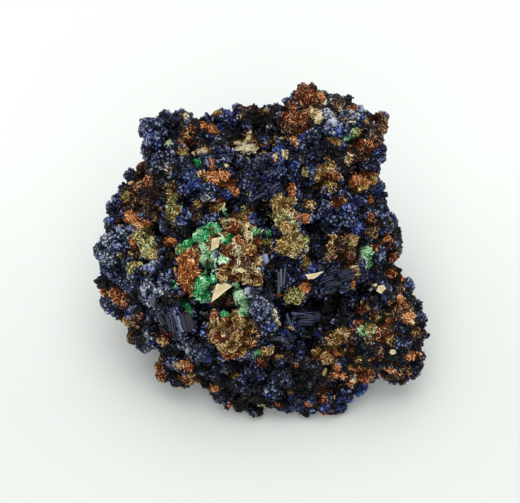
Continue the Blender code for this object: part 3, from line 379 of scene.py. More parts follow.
# Pale chips and flakes: (across, up, length, width, turn, mineral)
CHIPS: list[tuple[float, float, float, float, float, Mineral]] = [
    (-3.3, 18.2, 3.0, 0.9, 4, Mineral.CREAM), (-2.4, 20.3, 1.3, 0.9, 60, Mineral.CREAM),
    (-4.4, 19.3, 1.5, 0.7, 0, Mineral.CREAM), (-10.5, 17.8, 1.5, 0.7, 170, Mineral.CREAM),
    (-14.2, 17.2, 1.6, 0.8, 20, Mineral.OLIVE), (-2.9, 16.4, 1.4, 0.8, 0, Mineral.CREAM),
    (-16.6, 19.4, 0.9, 0.7, 40, Mineral.CREAM), (-12.3, 17.4, 1.0, 0.4, -40, Mineral.CREAM),
    (10.2, 23.9, 1.7, 1.2, 80, Mineral.CREAM), (8.9, 25.0, 1.2, 0.5, 70, Mineral.CREAM),
    (2.4, 16.8, 1.1, 0.7, 120, Mineral.CREAM), (3.9, 17.3, 1.3, 0.6, 100, Mineral.CREAM),
    (7.9, 13.6, 1.0, 0.7, 60, Mineral.OLIVE), (20.4, -6.4, 0.7, 0.6, 0, Mineral.CREAM),
    (23.5, -18.4, 1.4, 1.0, 15, Mineral.CREAM), (11.2, -21.9, 1.8, 0.8, 55, Mineral.OLIVE),
    (2.3, -11.0, 1.2, 0.5, -60, Mineral.CREAM), (3.0, -13.2, 1.5, 0.7, -65, Mineral.CREAM),
    (16.3, -3.2, 1.1, 0.5, 20, Mineral.CREAM), (-19.0, -12.7, 1.5, 0.8, 120, Mineral.OLIVE),
    (26.9, -12.9, 1.4, 0.7, -50, Mineral.CREAM), (-6.4, 15.1, 1.0, 0.7, -60, Mineral.CREAM),
    (0.3, 9.0, 0.6, 0.4, 0, Mineral.CREAM), (0.4, -27.8, 2.6, 0.4, 8, Mineral.CREAM),
    (-23.7, 12.1, 1.2, 0.6, 20, Mineral.CREAM),
]

# The flat cream splinters: the height of the slab, the rise of its first corner, and its corners as
# (across, up).
SPLINTERS: list[tuple[float, float, list[tuple[float, float]]]] = [
    (0.3, 0.3, [(-9.1, -9.4), (-5.4, -6.5), (-6.5, -5.9), (-8.1, -6.1), (-8.8, -7.8)]),
    (0.3, 0.1, [(-9.1, 2.0), (-9.2, -0.2), (-7.9, 0.4), (-7.4, 2.3)]),
    (0.4, 0.4, [(11.1, -3.8), (9.5, -4.2), (7.7, -4.4), (8.3, -5.3), (9.6, -5.1)]),
    (0.3, 0.2, [(20.6, -7.4), (21.4, -7.9), (22.3, -7.0), (22.0, -6.3), (20.9, -6.4)]),
    (0.3, 0.2, [(-4.8, -3.6), (-3.6, -4.2), (-3.0, -3.6), (-3.8, -3.2)]),
]


def linear(hex_colour: str) -> tuple[float, float, float, float]:
    """Turns an sRGB hex colour into the linear colour that a node socket takes.

    Args:
        hex_colour: six hexadecimal digits.

    Returns:
        Red, green, blue and alpha, each from 0 to 1.
    """
    parts = [int(hex_colour[i : i + 2], 16) / 255 for i in (0, 2, 4)]
    lit = [p / 12.92 if p <= 0.04045 else ((p + 0.055) / 1.055) ** 2.4 for p in parts]
    return (lit[0], lit[1], lit[2], 1.0)


@dataclass(frozen=True)
class DisplayFace:
    """The frame of the side that the specimen is shown from.

    Lean is how far it leans back, centre the place of its origin, and read from the distance in
    front of it from which across and up are read.
    """

    lean: float = math.radians(35)
    centre: tuple[float, float, float] = (0.538, -1.387, 23.2)
    read_from: float = 260.0

    def turn(self) -> Matrix:
        """The rotation from the face's axes to the standing frame."""
        return Matrix.Rotation(self.lean, 4, "X")

    def place(self, across: float, up: float, out: float) -> Vector:
        """Finds a place of the face in the standing frame.

        Args:
            across: millimetres to the right.
            up: millimetres up along the face.
            out: millimetres square out of the face.

        Returns:
            The point in metres.
        """
        spread = 1.0 - out / self.read_from
        flat = Vector((across * spread, up * spread, out))
        return (Vector(self.centre) + self.turn().to_3x3() @ flat) * MM

    def read(self, points: np.ndarray) -> np.ndarray:
        """Reads points of the standing frame in the face's own frame.

        Args:
            points: an N by 3 array, in metres.

        Returns:
            An N by 3 array of across, up and out, in millimetres.
        """
        turn = np.array(self.turn().to_3x3())
        local = (points / MM - np.array(self.centre)) @ turn
        spread = 1.0 - local[:, 2] / self.read_from
        return np.column_stack((local[:, 0] / spread, local[:, 1] / spread, local[:, 2]))


@dataclass(frozen=True)
class Grains:
    """An irregular division of space into grains, sampled at some points."""

    depth: np.ndarray
    key: np.ndarray
    core: np.ndarray

    @classmethod
    def sample(cls, points: np.ndarray, size: float, shift: float) -> "Grains":
        """Samples the grains.

        Args:
            points: an N by 3 array, in metres.
            size: the width of a grain in millimetres.
            shift: moves the pattern, so that two calls differ.

        Returns:
            For each point its distance from its grain's middle in grain widths, a number from 0 to
            1 that is the same all over a grain, and the grain's middle in metres.
        """
        depth = np.empty(len(points))
        core = np.empty((len(points), 3))
        for i, spot in enumerate(points / (size * MM) + shift):
            distances, middles = noise.voronoi(spot)
            depth[i] = distances[0]
            core[i] = middles[0]
        key = np.sin(core @ np.array(HASH_WAY)) * HASH_SPREAD
        return cls(depth, key % 1.0, (core - shift) * size * MM)

    def dome(self) -> np.ndarray:
        """The height of rounded grain tops with creases between them, from -0.7 to 1."""
        return np.clip(1.0 - (self.depth / 0.62) ** 2, -0.7, 1.0)


def soft_noise(points: np.ndarray, size: float, shift: float) -> np.ndarray:
    """Samples smooth noise.

    Args:
        points: an N by 3 array, in metres.
        size: the noise's scale in millimetres.
        shift: moves the pattern, so that two calls differ.

    Returns:
        A value from about -1 to 1 for each point.
    """
    scaled = points / (size * MM) + shift
    return np.array([noise.noise(spot) for spot in scaled])


def read_vectors(items: Any, name: str) -> np.ndarray:
    """Reads one vector from each of a mesh's points or faces.

    Args:
        items: the mesh's list of points or faces.
        name: which vector is read.

    Returns:
        An N by 3 array, in metres for places.
    """
    flat = np.empty(len(items) * 3)
    items.foreach_get(name, flat)
    return flat.reshape(-1, 3)


def store(
    mesh: bpy.types.Mesh, name: str, domain: str, values: np.ndarray, whole: bool = False
) -> None:
    """Stores one value for each point or face of a mesh.

    Args:
        mesh: the mesh.
        name: the attribute's name.
        domain: POINT or FACE.
        values: the values.
        whole: whether they are kept as whole numbers.
    """
    attribute = mesh.attributes.new(name, "INT" if whole else "FLOAT", domain)
    attribute.data.foreach_set("value", values.astype(np.int32 if whole else np.float32))


def face_sizes(mesh: bpy.types.Mesh) -> np.ndarray:
    """Counts the corners of each of a mesh's faces.

    Args:
        mesh: the mesh.

    Returns:
        The number of corners for each face.
    """
    totals = np.empty(len(mesh.polygons), dtype=np.int32)
    mesh.polygons.foreach_get("loop_total", totals)
    return totals


def corner_owners(mesh: bpy.types.Mesh) -> tuple[np.ndarray, np.ndarray]:
    """Finds what each face corner belongs to.

    Args:
        mesh: the mesh.

    Returns:
        The corners' points and the corners' faces.
    """
    corners = np.empty(len(mesh.loops), dtype=np.int32)
    mesh.loops.foreach_get("vertex_index", corners)
    return corners, np.repeat(np.arange(len(mesh.polygons)), face_sizes(mesh))


def write_chart(mesh: bpy.types.Mesh, tone: np.ndarray, row: np.ndarray) -> None:
    """Writes the map of the colour card.

    Args:
        mesh: the mesh.
        tone: each corner's tone, from 0 in a crevice to 1 on a tip.
        row: each corner's place among the minerals, counted in rows of the card.
    """
    chart = mesh.uv_layers.new(name=CARD)
    places = np.column_stack((np.clip(tone, 0.01, 0.99), row / len(Mineral)))
    chart.data.foreach_set("uv", places.astype(np.float32).ravel())


def band(bm: bmesh.types.BMesh, near: Sequence[Any], far: Sequence[Any]) -> None:
    """Joins two rings of as many points by a band of four-sided faces."""
    for i, j in enumerate([*range(1, len(near)), 0]):
        bm.faces.new((near[i], near[j], far[j], far[i]))


def new_object(name: str, mesh: bpy.types.Mesh) -> bpy.types.Object:
    """Puts a mesh into the scene as an object at the origin.

    Args:
        name: the object's name.
        mesh: its mesh.

    Returns:
        The object.
    """
    piece = bpy.data.objects.new(name, mesh)
    bpy.context.scene.collection.objects.link(piece)
    return piece


def settle(piece: bpy.types.Object) -> None:
    """Turns a piece's evaluated shape into its plain mesh and removes its modifiers.

    Args:
        piece: the piece.
    """
    graph = bpy.context.evaluated_depsgraph_get()
    shaped = bpy.data.meshes.new_from_object(piece.evaluated_get(graph))
    shaped.name = piece.name
    piece.modifiers.clear()
    piece.data = shaped


@dataclass
class NodeSketch:
    """A node tree under construction, with short calls to add and join its nodes."""

    tree: bpy.types.NodeTree

    def add(self, kind: str, inputs: dict[int | str, Any], **settings: Any) -> bpy.types.Node:
        """Adds one node.

        Args:
            kind: the node's type name.
            inputs: for an input's name or number, a value or the socket that feeds it.
            **settings: properties set on the node before its inputs.

        Returns:
            The new node.
        """
        node = self.tree.nodes.new(kind)
        for name, value in settings.items():
            setattr(node, name, value)
        for key, value in inputs.items():
            if isinstance(value, bpy.types.NodeSocket):
                self.tree.links.new(value, node.inputs[key])
            else:
                node.inputs[key].default_value = value
        return node

    def maths(self, operation: str, *values: Any, clamp: bool = False) -> bpy.types.NodeSocket:
        """Adds one maths node.

        Args:
            operation: the node's operation.
            *values: its numbers or sockets, in order.
            clamp: whether the result stays from 0 to 1.

        Returns:
            The result's socket.
        """
        inputs = dict(enumerate(values))
        node = self.add("ShaderNodeMath", inputs, operation=operation, use_clamp=clamp)
        return node.outputs[0]


@dataclass(frozen=True)
class ColourCard:
    """The shared colours: u runs from painted shade in a crevice to a painted highlight on a tip, with
    the grains' own random tones between, and v goes through the minerals.

    The drifts are how far grains of one mineral differ in hue and in value.
    """

    name: str = "mineral_card"
    hue_drift: float = 0.036
    value_drift: float = 0.5

    def stops(self, sketch: NodeSketch, row: Any, values: Sequence[Any]) -> bpy.types.NodeSocket:
        """Adds a stepped ramp that gives each mineral its own value.

        Args:
            sketch: the tree to add to.
            row: the socket that goes from 0 to 1 through the minerals.
            values: one colour for each mineral.

        Returns:
            The colour's socket.
        """
        node = sketch.add("ShaderNodeValToRGB", {0: row})
        ramp = node.color_ramp
        ramp.interpolation = "CONSTANT"
        for i, value in enumerate(values):
            stop = ramp.elements[i] if i < 2 else ramp.elements.new(i / len(values))
            stop.position = i / len(values)
            stop.color = value
        return node.outputs[0]

    def build(self) -> bpy.types.NodeTree:
        """Builds the card.

        Returns:
            A node group with the outputs Color, Roughness and Tone.
        """
        tree = bpy.data.node_groups.new(self.name, "ShaderNodeTree")
        for label, kind in (("Color", "Color"), ("Roughness", "Float"), ("Tone", "Float")):
            tree.interface.new_socket(label, in_out="OUTPUT", socket_type=f"NodeSocket{kind}")
        sketch = NodeSketch(tree)
        chart = sketch.add("ShaderNodeUVMap", {}, uv_map=CARD)
        parts = sketch.add("ShaderNodeSeparateXYZ", {0: chart.outputs[0]})
        tone, row = parts.outputs[0], parts.outputs[1]
        shades = [SHADES[mineral] for mineral in Mineral]
        colour = self.stops(sketch, row, [linear(s.deep) for s in shades])
        for step, part in enumerate(("body", "light", "tip")):
            level = sketch.maths("MULTIPLY_ADD", tone, 3.0, -float(step), clamp=True)
            above = self.stops(sketch, row, [linear(getattr(s, part)) for s in shades])
            mix = sketch.add("ShaderNodeMix", {0: level, 6: colour, 7: above}, data_type="RGBA")
            colour = mix.outputs[2]
        variety = sketch.maths("FRACT", sketch.maths("MULTIPLY", row, float(len(shades))))
        hue = sketch.maths("MULTIPLY_ADD", variety, self.hue_drift, 0.5 - self.hue_drift / 2)
        value = sketch.maths("MULTIPLY_ADD", variety, self.value_drift, 1.0 - self.value_drift / 2)
        varied = sketch.add("ShaderNodeHueSaturation", {"Hue": hue, "Value": value, "Color": colour})
        gloss = self.stops(sketch, row, [(s.roughness, s.roughness, s.roughness, 1.0) for s in shades])
        grey = sketch.add("ShaderNodeRGBToBW", {0: gloss})
        sketch.add("NodeGroupOutput", {0: varied.outputs[0], 1: grey.outputs[0], 2: tone})
        return tree


@dataclass(frozen=True)
class Finish:
    """A material that takes its colour from the card and has its own grain, bump and gloss.

    Grain is the width of its fine marks in millimetres, streaks how long they are drawn down the
    leaning face, and unevenness how much their gloss varies.
    """

    name: str
    grain: float
    bump: float
    gloss_shift: float = 0.0
    specular: float = 0.5
    streaks: float = 0.0
    unevenness: float = 0.36

    def make(self, card: bpy.types.NodeTree) -> bpy.types.Material:
        """Builds the material.

        Args:
            card: the shared colour card.

        Returns:
            The material.
        """
        material = bpy.data.materials.new(self.name)
        material.use_nodes = True
        sketch = NodeSketch(material.node_tree)
        shader = material.node_tree.nodes["Principled BSDF"]
        colours = sketch.add("ShaderNodeGroup", {}, node_tree=card)
        space = sketch.add("ShaderNodeTexCoord", {})
        stretch = (1.0, 1.0 + 9.0 * self.streaks, 1.0)
        turn = (-DisplayFace.lean if self.streaks else 0.0, 0.0, 0.0)
        mapped = sketch.add(
            "ShaderNodeMapping", {0: space.outputs["Object"], "Rotation": turn, "Scale": stretch}
        )
        cloud = sketch.add(
            "ShaderNodeTexNoise", {0: mapped.outputs[0], "Scale": 1.0 / (self.grain * MM), "Detail": 3.0}
        )
        shift = self.gloss_shift - self.unevenness / 2
        spread = sketch.maths("MULTIPLY_ADD", cloud.outputs[0], self.unevenness, shift)
        rough = sketch.maths("ADD", colours.outputs["Roughness"], spread, clamp=True)
        bump = sketch.add(
            "ShaderNodeBump",
            {"Height": cloud.outputs[0], "Strength": self.bump, "Distance": 0.25 * self.grain * MM},
        )
        link = material.node_tree.links.new
        link(colours.outputs["Color"], shader.inputs["Base Color"])
        link(rough, shader.inputs["Roughness"])
        link(bump.outputs[0], shader.inputs["Normal"])
        shader.inputs["Specular IOR Level"].default_value = self.specular
        return material


@dataclass
class MineralMap:
    """Which mineral shows at each face of the body.

    Ragged is how uneven the patches' edges are, lumped how far they follow the lumps, and shared the
    part of the lumps that are of one mineral all over.
    """

    face: DisplayFace
    surface: BVHTree
    ragged: float = 0.36
    lumped: float = 0.16
    shared: float = 0.45

    def anchor(self, across: float, up: float) -> float | None:
        """Finds how far out the surface stands at a place of the display side.

        Args:
            across: millimetres to the right.
            up: millimetres up along the face.

        Returns:
            The surface's out, or None beside the specimen.
        """
        eye = self.face.place(0.0, 0.0, self.face.read_from - 0.001)
        aim = self.face.place(across, up, 0.0)
        spot = self.surface.ray_cast(eye, (aim - eye).normalized())[0]
        return None if spot is None else float(self.face.read(np.array([spot]))[0, 2])

    def zones(self, centres: np.ndarray) -> np.ndarray:
        """Chooses each face's zone.

        Args:
            centres: the faces' middles, drawn towards their lumps' middles, in metres.

        Returns:
            For each face, its zone's place in the list of zones.
        """
        order = list(Zone)
        local = self.face.read(centres)
        broad = soft_noise(centres, size=6.5, shift=3.0)
        away = local[:, 2] < FRONT_REACH
        zone = np.full(len(centres), order.index(Zone.BLUE))
        # Where no patch lies, broad noise chooses between the blue ground and the iron.
        for here, kind in (
            (away & (broad > 0.12), Zone.BROWN), (away & (broad > 0.34), Zone.RUST),
            (away & (broad < -0.36), Zone.TOWER), (~away & (broad > 0.42), Zone.BROWN),
            (centres[:, 2] < 1.2 * MM, Zone.BROWN),
        ):
            zone[here] = order.index(kind)
        coarse = soft_noise(centres, size=1.6, shift=9.0)
        fine = soft_noise(centres, size=0.6, shift=5.0)
        edge = 1.0 + self.ragged * (coarse + 0.6 * fine)
        for kind, patches in PATCHES:
            for across, up, half_width, half_height, *turned in patches:
                out = self.anchor(across, up)
                if out is None:
                    continue
                angle = math.radians(turned[0] if turned else 0.0)
                da, du = local[:, 0] - across, local[:, 1] - up
                x = (da * math.cos(angle) + du * math.sin(angle)) / half_width
                y = (du * math.cos(angle) - da * math.sin(angle)) / half_height
                half_depth = 1.3 * max(half_width, half_height) + 0.6
                z = (local[:, 2] - out) / half_depth
                zone[x * x + y * y + z * z < edge * edge] = order.index(kind)
        return zone

    def minerals(self, centres: np.ndarray) -> np.ndarray:
        """Chooses each face's mineral.

        Args:
            centres: the faces' middles in the standing frame, in metres.

        Returns:
            For each face, its mineral's row on the colour card.
        """
        lumps = Grains.sample(centres, LUMP, LUMP_SHIFT)
        zone = self.zones(centres + self.lumped * (lumps.core - centres))
        shared = lumps.key * 7.0 % 1.0 < self.shared
        luck = np.where(shared, lumps.key, Grains.sample(centres, size=0.9, shift=21.0).key)
        rows = np.zeros(len(centres), dtype=np.int32)
        for i, kind in enumerate(Zone):
            here = zone == i
            limits = np.cumsum(list(kind.value.values()))
            options = np.array([mineral.value for mineral in kind.value])
            pick = np.searchsorted(limits / limits[-1], luck[here])
            rows[here] = options[np.minimum(pick, len(options) - 1)]
        return rows


def broad_light_and_tone(local: np.ndarray) -> np.ndarray:
    """Works out how much lighter or darker each place is painted than its crevice shade makes it, partly
    painted light and shade and partly the minerals' own tone.

    Args:
        local: an N by 3 array of places in the display face's frame, in millimetres.

    Returns:
        A factor for each place, which is 1 away from the display side.
    """
    factor = np.ones(len(local))
    # The change fades out between 8 and 12 mm behind the face's origin.
    shown = np.clip((local[:, 2] + 12.0) / 4.0, 0.0, 1.0)
    for across, up, half_width, half_height, change in BROAD_LIGHT_AND_TONES:
        away = ((local[:, 0] - across) / half_width) ** 2 + ((local[:, 1] - up) / half_height) ** 2
        factor *= 1.0 + (change - 1.0) * np.exp(-away) * shown
    return factor


def painted_crevice_shade(surface: BVHTree, spots: np.ndarray, normals: np.ndarray, reach: float) -> np.ndarray:
    """Measures how open each spot lies, for the painted shade that darkens its crevices.

    Args:
        surface: the surface around the spots.
        spots: an N by 3 array, in metres.
        normals: the surface's direction at each spot.
        reach: how far a wall still counts, in millimetres.

    Returns:
        A number for each spot, from 0 in a deep crevice to 1 in the open.
    """
    rays = 10
    clearance = 0.15 * MM
    golden = math.pi * (3.0 - math.sqrt(5.0))
    fan = []
    for i in range(rays):
        height = math.sqrt(1.0 - (i + 0.5) / rays)
        flat = math.sqrt(1.0 - height * height)
        fan.append(Vector((math.cos(i * golden) * flat, math.sin(i * golden) * flat, height)))
    found = np.empty(len(spots))
    for i, (spot, normal) in enumerate(zip(spots, normals)):
        way = Vector(normal)
        start = Vector(spot) + way * clearance
        turn = way.to_track_quat("Z", "Y")
        free = 0.0
        for ray in fan:
            distance = surface.ray_cast(start, turn @ ray, reach * MM)[3]
            free += 1.0 if distance is None else distance / (reach * MM)
        found[i] = free / rays
    # Most spots lie in the middle of the range, so it is drawn out to the whole of it.
    return np.clip(1.9 * found - 0.55, 0.0, 1.15)


@dataclass
class Groundmass:
    """The body of the specimen: its whole form with a granular skin.

    Pitch is the step of its even grid, and inset how far it is drawn in to make room for its relief.
    Lump and granule are the widths of its rounded grains, and their heights follow them; the waves
    are gentler, and pitted is how deep its pores are. Reach is how far off a wall still adds painted
    shade to a spot. Its tone in the open is the low tone, up to the tone spread more. Bosses are the
    balls, as (across, up, out, radius), that fill its deepest pits and round its rim.
    """

    face: DisplayFace
    pitch: float = 0.385
    inset: float = 0.4
    lump: float = LUMP
    lump_height: float = 0.95
    granule: float = 0.95
    granule_height: float = 0.26
    wave_height: float = 0.12
    pitted: float = 1.1
    reach: float = 5.0
    low_tone: float = 0.06
    tone_spread: float = 0.22
    seed: int = 5
    bosses: tuple[tuple[float, float, float, float], ...] = (
        (23.7, -6.1, -4.6, 2.0), (25.2, -6.4, -5.6, 1.7), (-8.1, -8.6, 0.0, 1.9),
        (-6.0, -8.9, 0.2, 2.0), (-8.7, -6.9, 1.5, 1.9), (-9.9, -10.2, -1.0, 2.0),
        (-7.0, -9.6, 0.3, 1.9), (24.2, -4.4, -4.8, 1.6), (21.7, 22.0, -3.4, 1.6),
    )
    piece: bpy.types.Object = field(init=False)
    rows: np.ndarray = field(init=False)
    lift: np.ndarray = field(init=False)
    open_sky: np.ndarray = field(init=False)

    def build(self) -> None:
        """Makes the skin from the specimen's solid, on an even grid, and works grain into it."""
        mesh = frame["nodes"][NODE].data.copy()
        self.piece = new_object("groundmass", mesh)
        bm = bmesh.new()
        bm.from_mesh(mesh)
        bmesh.ops.remove_doubles(bm, verts=bm.verts, dist=1e-7)
        for across, up, out, radius in self.bosses:
            spot = Matrix.Translation(self.face.place(across, up, out))
            bmesh.ops.create_icosphere(bm, subdivisions=3, radius=radius * MM, matrix=spot)
        bm.to_mesh(mesh)
        bm.free()
        remesh = self.piece.modifiers.new("even", "REMESH")
        remesh.mode = "VOXEL"
        remesh.voxel_size = self.pitch * MM
        settle(self.piece)
        smooth = self.piece.modifiers.new("soften", "SMOOTH")
        smooth.factor = 0.5
        smooth.iterations = 5
        settle(self.piece)
        self.roughen()

    def roughen(self) -> None:
        """Raises granules and sinks pores all over, except on the flat underside."""
        mesh = self.piece.data
        spots = read_vectors(mesh.vertices, "co")
        normals = read_vectors(mesh.vertex_normals, "vector")
        lumps = Grains.sample(spots, self.lump, LUMP_SHIFT)
        granules = Grains.sample(spots, self.granule, shift=0.0)
        waves = soft_noise(spots, size=2.4, shift=2.0)
        pores = np.clip(soft_noise(spots, size=1.5, shift=8.0) - 0.16, 0.0, 1.0)
        lift = self.lump_height * lumps.dome() + self.granule_height * granules.dome()
        lift += self.wave_height * waves - self.pitted * pores
        flat = np.clip((spots[:, 2] / MM - 0.3) / 1.2, 0.0, 1.0)
        moved = spots + normals * ((lift - self.inset) * flat)[:, None] * MM
        moved[:, 2] = np.maximum(moved[:, 2], 0.0)
        mesh.vertices.foreach_set("co", moved.ravel())
        mesh.update()
        self.lift = lift

    def surface(self) -> BVHTree:
        """A search tree of the skin."""
        faces = [tuple(face.vertices) for face in self.piece.data.polygons]
        return BVHTree.FromPolygons([vertex.co for vertex in self.piece.data.vertices], faces)

    def dress(self, material: bpy.types.Material) -> None:
        """Chooses the mineral of each face, writes the colour card's map and sets the material.

        Args:
            material: the finish of the skin.
        """
        mesh = self.piece.data
        centres = read_vectors(mesh.polygons, "center")
        spots = read_vectors(mesh.vertices, "co")
        tree = self.surface()
        self.rows = MineralMap(self.face, tree).minerals(centres)
        side = (self.face.read(centres)[:, 2] < FRONT_REACH).astype(int)
        families = np.array([FAMILY_OF[mineral].value for mineral in Mineral])
        floor_scar = centres[:, 2] < 0.4 * MM
        stand = np.where(floor_scar, -1, families[self.rows] * 2 + side)
        # Painted shade: each spot is darkened by how closely the walls around it close it in.
        self.open_sky = painted_crevice_shade(tree, spots, read_vectors(mesh.vertex_normals, "vector"), self.reach)
        # Painted light and shade: the tops of the relief are painted lighter than its hollows, more than
        # the rays alone tell.
        self.open_sky *= np.clip(0.78 + 1.05 * self.lift, 0.2, 1.5)
        # Painted light and shade over broad patches, partly the minerals' own lighter or darker tone.
        self.open_sky *= broad_light_and_tone(self.face.read(spots))
        store(mesh, "stand", "FACE", stand, whole=True)
        store(mesh, "row", "FACE", self.rows)
        store(mesh, "open_sky", "POINT", self.open_sky)
        store(mesh, "bearing", "FACE", math.tau * Grains.sample(centres, LUMP, LUMP_SHIFT).key)
        self.write_card(mesh)
        mesh.materials.clear()
        mesh.materials.append(material)
        mesh.shade_smooth()

    def write_card(self, mesh: bpy.types.Mesh) -> None:
        """Writes each face corner's tone and mineral into the map of the colour card.

        Args:
            mesh: the skin's mesh.
        """
        corners, owner = corner_owners(mesh)
        dice = np.random.default_rng(self.seed)
        # A spot's tone is its own random tone, darkened and lightened by the painted light and shade.
        tone = self.open_sky * (self.low_tone + self.tone_spread * dice.random(len(mesh.vertices)))
        variety = 0.15 + 0.5 * dice.random(len(mesh.polygons))
        write_chart(
            mesh, tone[corners], self.rows[owner] + variety[owner] + 0.3 * dice.random(len(corners))
        )


class GrainShape(Enum):
    """The form of the grains of one coat, before they are turned and scaled."""

    CRYSTAL = "crystal"
    BLADES = "blades"
    CRUST = "crust"


@dataclass(frozen=True)
class GrainMaker:
    """Makes the few different grains that a coat is built from.

    Chisels is the share of crystals with a chisel end, and crumbs the share of crumbs in a crust.
    """

    shape: GrainShape
    count: int = 12
    seed: int = 1
    chisels: float = 0.4
    crumbs: float = 0.2

    def crystal(self, bm: bmesh.types.BMesh, dice: random.Random) -> None:
        """A short crystal with a chisel or a bevelled, sunken end, rooted below the ground.

        Args:
            bm: the mesh to add to.
            dice: the source of its unevenness.
        """
        w = dice.uniform(0.3, 0.5)
        t = w * dice.uniform(0.4, 0.95)
        shoulder = dice.uniform(0.1, 0.28)
        peak = shoulder + dice.uniform(0.1, 0.2)
        skew = dice.uniform(-0.12, 0.12)
        ring = ((-w, -t), (w, -t), (w, t), (-w, t))
        foot = [bm.verts.new((x * 0.85, y * 0.85, -0.35)) for x, y in ring]
        rim = [bm.verts.new((x, y, shoulder + skew * x / w)) for x, y in ring]
        band(bm, foot, rim)
        bm.faces.new(list(reversed(foot)))
        if dice.random() < self.chisels:
            edge = dice.uniform(0.4, 0.8)
            top = [bm.verts.new((x * edge, 0.0, peak + skew * x / w)) for x in (-w, w)]
            bm.faces.new((rim[0], rim[1], top[1], top[0]))
            bm.faces.new((rim[2], rim[3], top[0], top[1]))
            bm.faces.new((rim[1], rim[2], top[1]))
            bm.faces.new((rim[3], rim[0], top[0]))
            return
        cap = dice.uniform(0.6, 0.85)
        drift = dice.uniform(-0.1, 0.1)
        top = [bm.verts.new((x * cap + drift, y * cap, peak + 1.6 * skew * x / w)) for x, y in ring]
        sunk = bm.verts.new((drift, 0.0, peak - 0.13))
        band(bm, rim, top)
        for i in range(4):
            bm.faces.new((top[i], top[(i + 1) % 4], sunk))

    def blades(self, bm: bmesh.types.BMesh, dice: random.Random) -> None:
        """A group of thin parallel blades with chisel edges, one unit long.

        Args:
            bm: the mesh to add to.
            dice: the source of its unevenness.
        """
        for i in range(4):
            y = (i - 1.5) * 0.15 + dice.uniform(-0.03, 0.03)
            near, far = sorted((dice.uniform(-0.5, -0.15), dice.uniform(0.15, 0.5)))
            half = dice.uniform(0.045, 0.068)
            rise = dice.uniform(0.1, 0.26)
            slope = dice.uniform(-0.12, 0.12)
            ends = []
            for x, fall in ((near, 0.1), (near + 0.12, 0.0), (far - 0.12, 0.0), (far, 0.1)):
                top = rise + slope * x - fall
                profile = ((y - half, -0.4), (y + half, -0.4), (y + half, top - 0.06), (y, top),
                           (y - half, top - 0.06))
                ends.append([bm.verts.new((x, side, up)) for side, up in profile])
            for this, other in zip(ends, ends[1:]):
                band(bm, other, this)
            bm.faces.new(ends[0])
            bm.faces.new(list(reversed(ends[-1])))

    def crust(self, bm: bmesh.types.BMesh, dice: random.Random) -> None:
        """A broken crumb, or a curved wall of a boxwork, one unit wide.

        Args:
            bm: the mesh to add to.
            dice: the source of its unevenness.
        """
        if dice.random() < self.crumbs:
            spots = []
            for _ in range(8):
                way = Vector((dice.gauss(0, 1), dice.gauss(0, 1), dice.gauss(0, 1))).normalized()
                way.z *= 0.7
                spots.append(bm.verts.new(way * dice.uniform(0.34, 0.48) + Vector((0.0, 0.0, 0.04))))
            hull = bmesh.ops.convex_hull(bm, input=spots)
            buried = dict.fromkeys(hull["geom_interior"] + hull["geom_unused"])
            bmesh.ops.delete(bm, geom=list(buried), context="VERTS")
            return
        bend = dice.uniform(0.6, 1.9)
        radius = dice.uniform(0.5, 0.8) / bend ** 0.3
        thick = dice.uniform(0.1, 0.15)
        rings = []
        for share in (-0.5, 0.0, 0.5):
            angle = bend * share
            height = dice.uniform(0.1, 0.26)
            column = []
            for reach, level in ((radius, -0.35), (radius, height), (radius + thick, height - 0.05),
                                 (radius + 1.3 * thick, -0.35)):
                x = math.sin(angle) * reach
                y = math.cos(angle) * reach - radius
                column.append(bm.verts.new((x, y, level)))
            rings.append(column)
        for near, far in zip(rings, rings[1:]):
            band(bm, near, far)
        bm.faces.new(list(reversed(rings[0])))
        bm.faces.new(rings[-1])

    def make(self) -> bpy.types.Collection:
        """Makes the grains, with the attributes tip, a point's height, and around, its direction.

        Returns:
            The grains in a collection.
        """
        dice = random.Random(self.seed)
        shelf = bpy.data.collections.new(f"{self.shape.value}_grains")
        for i in range(self.count):
            bm = bmesh.new()
            getattr(self, self.shape.value)(bm, dice)
            bmesh.ops.recalc_face_normals(bm, faces=bm.faces)
            mesh = bpy.data.meshes.new(f"{self.shape.value}_{i}")
            bm.to_mesh(mesh)
            bm.free()
            spots = read_vectors(mesh.vertices, "co")
            # The height stored as tip drives the painted highlight on each grain's tip.
            store(mesh, "tip", "POINT", np.clip(spots[:, 2] / spots[:, 2].max(), 0.0, 1.0) ** 1.5)
            store(mesh, "around", "POINT", np.arctan2(spots[:, 1], spots[:, 0]) / math.tau + 0.5)
            shelf.objects.link(bpy.data.objects.new(mesh.name, mesh))
        bpy.context.scene.collection.children.link(shelf)
        return shelf


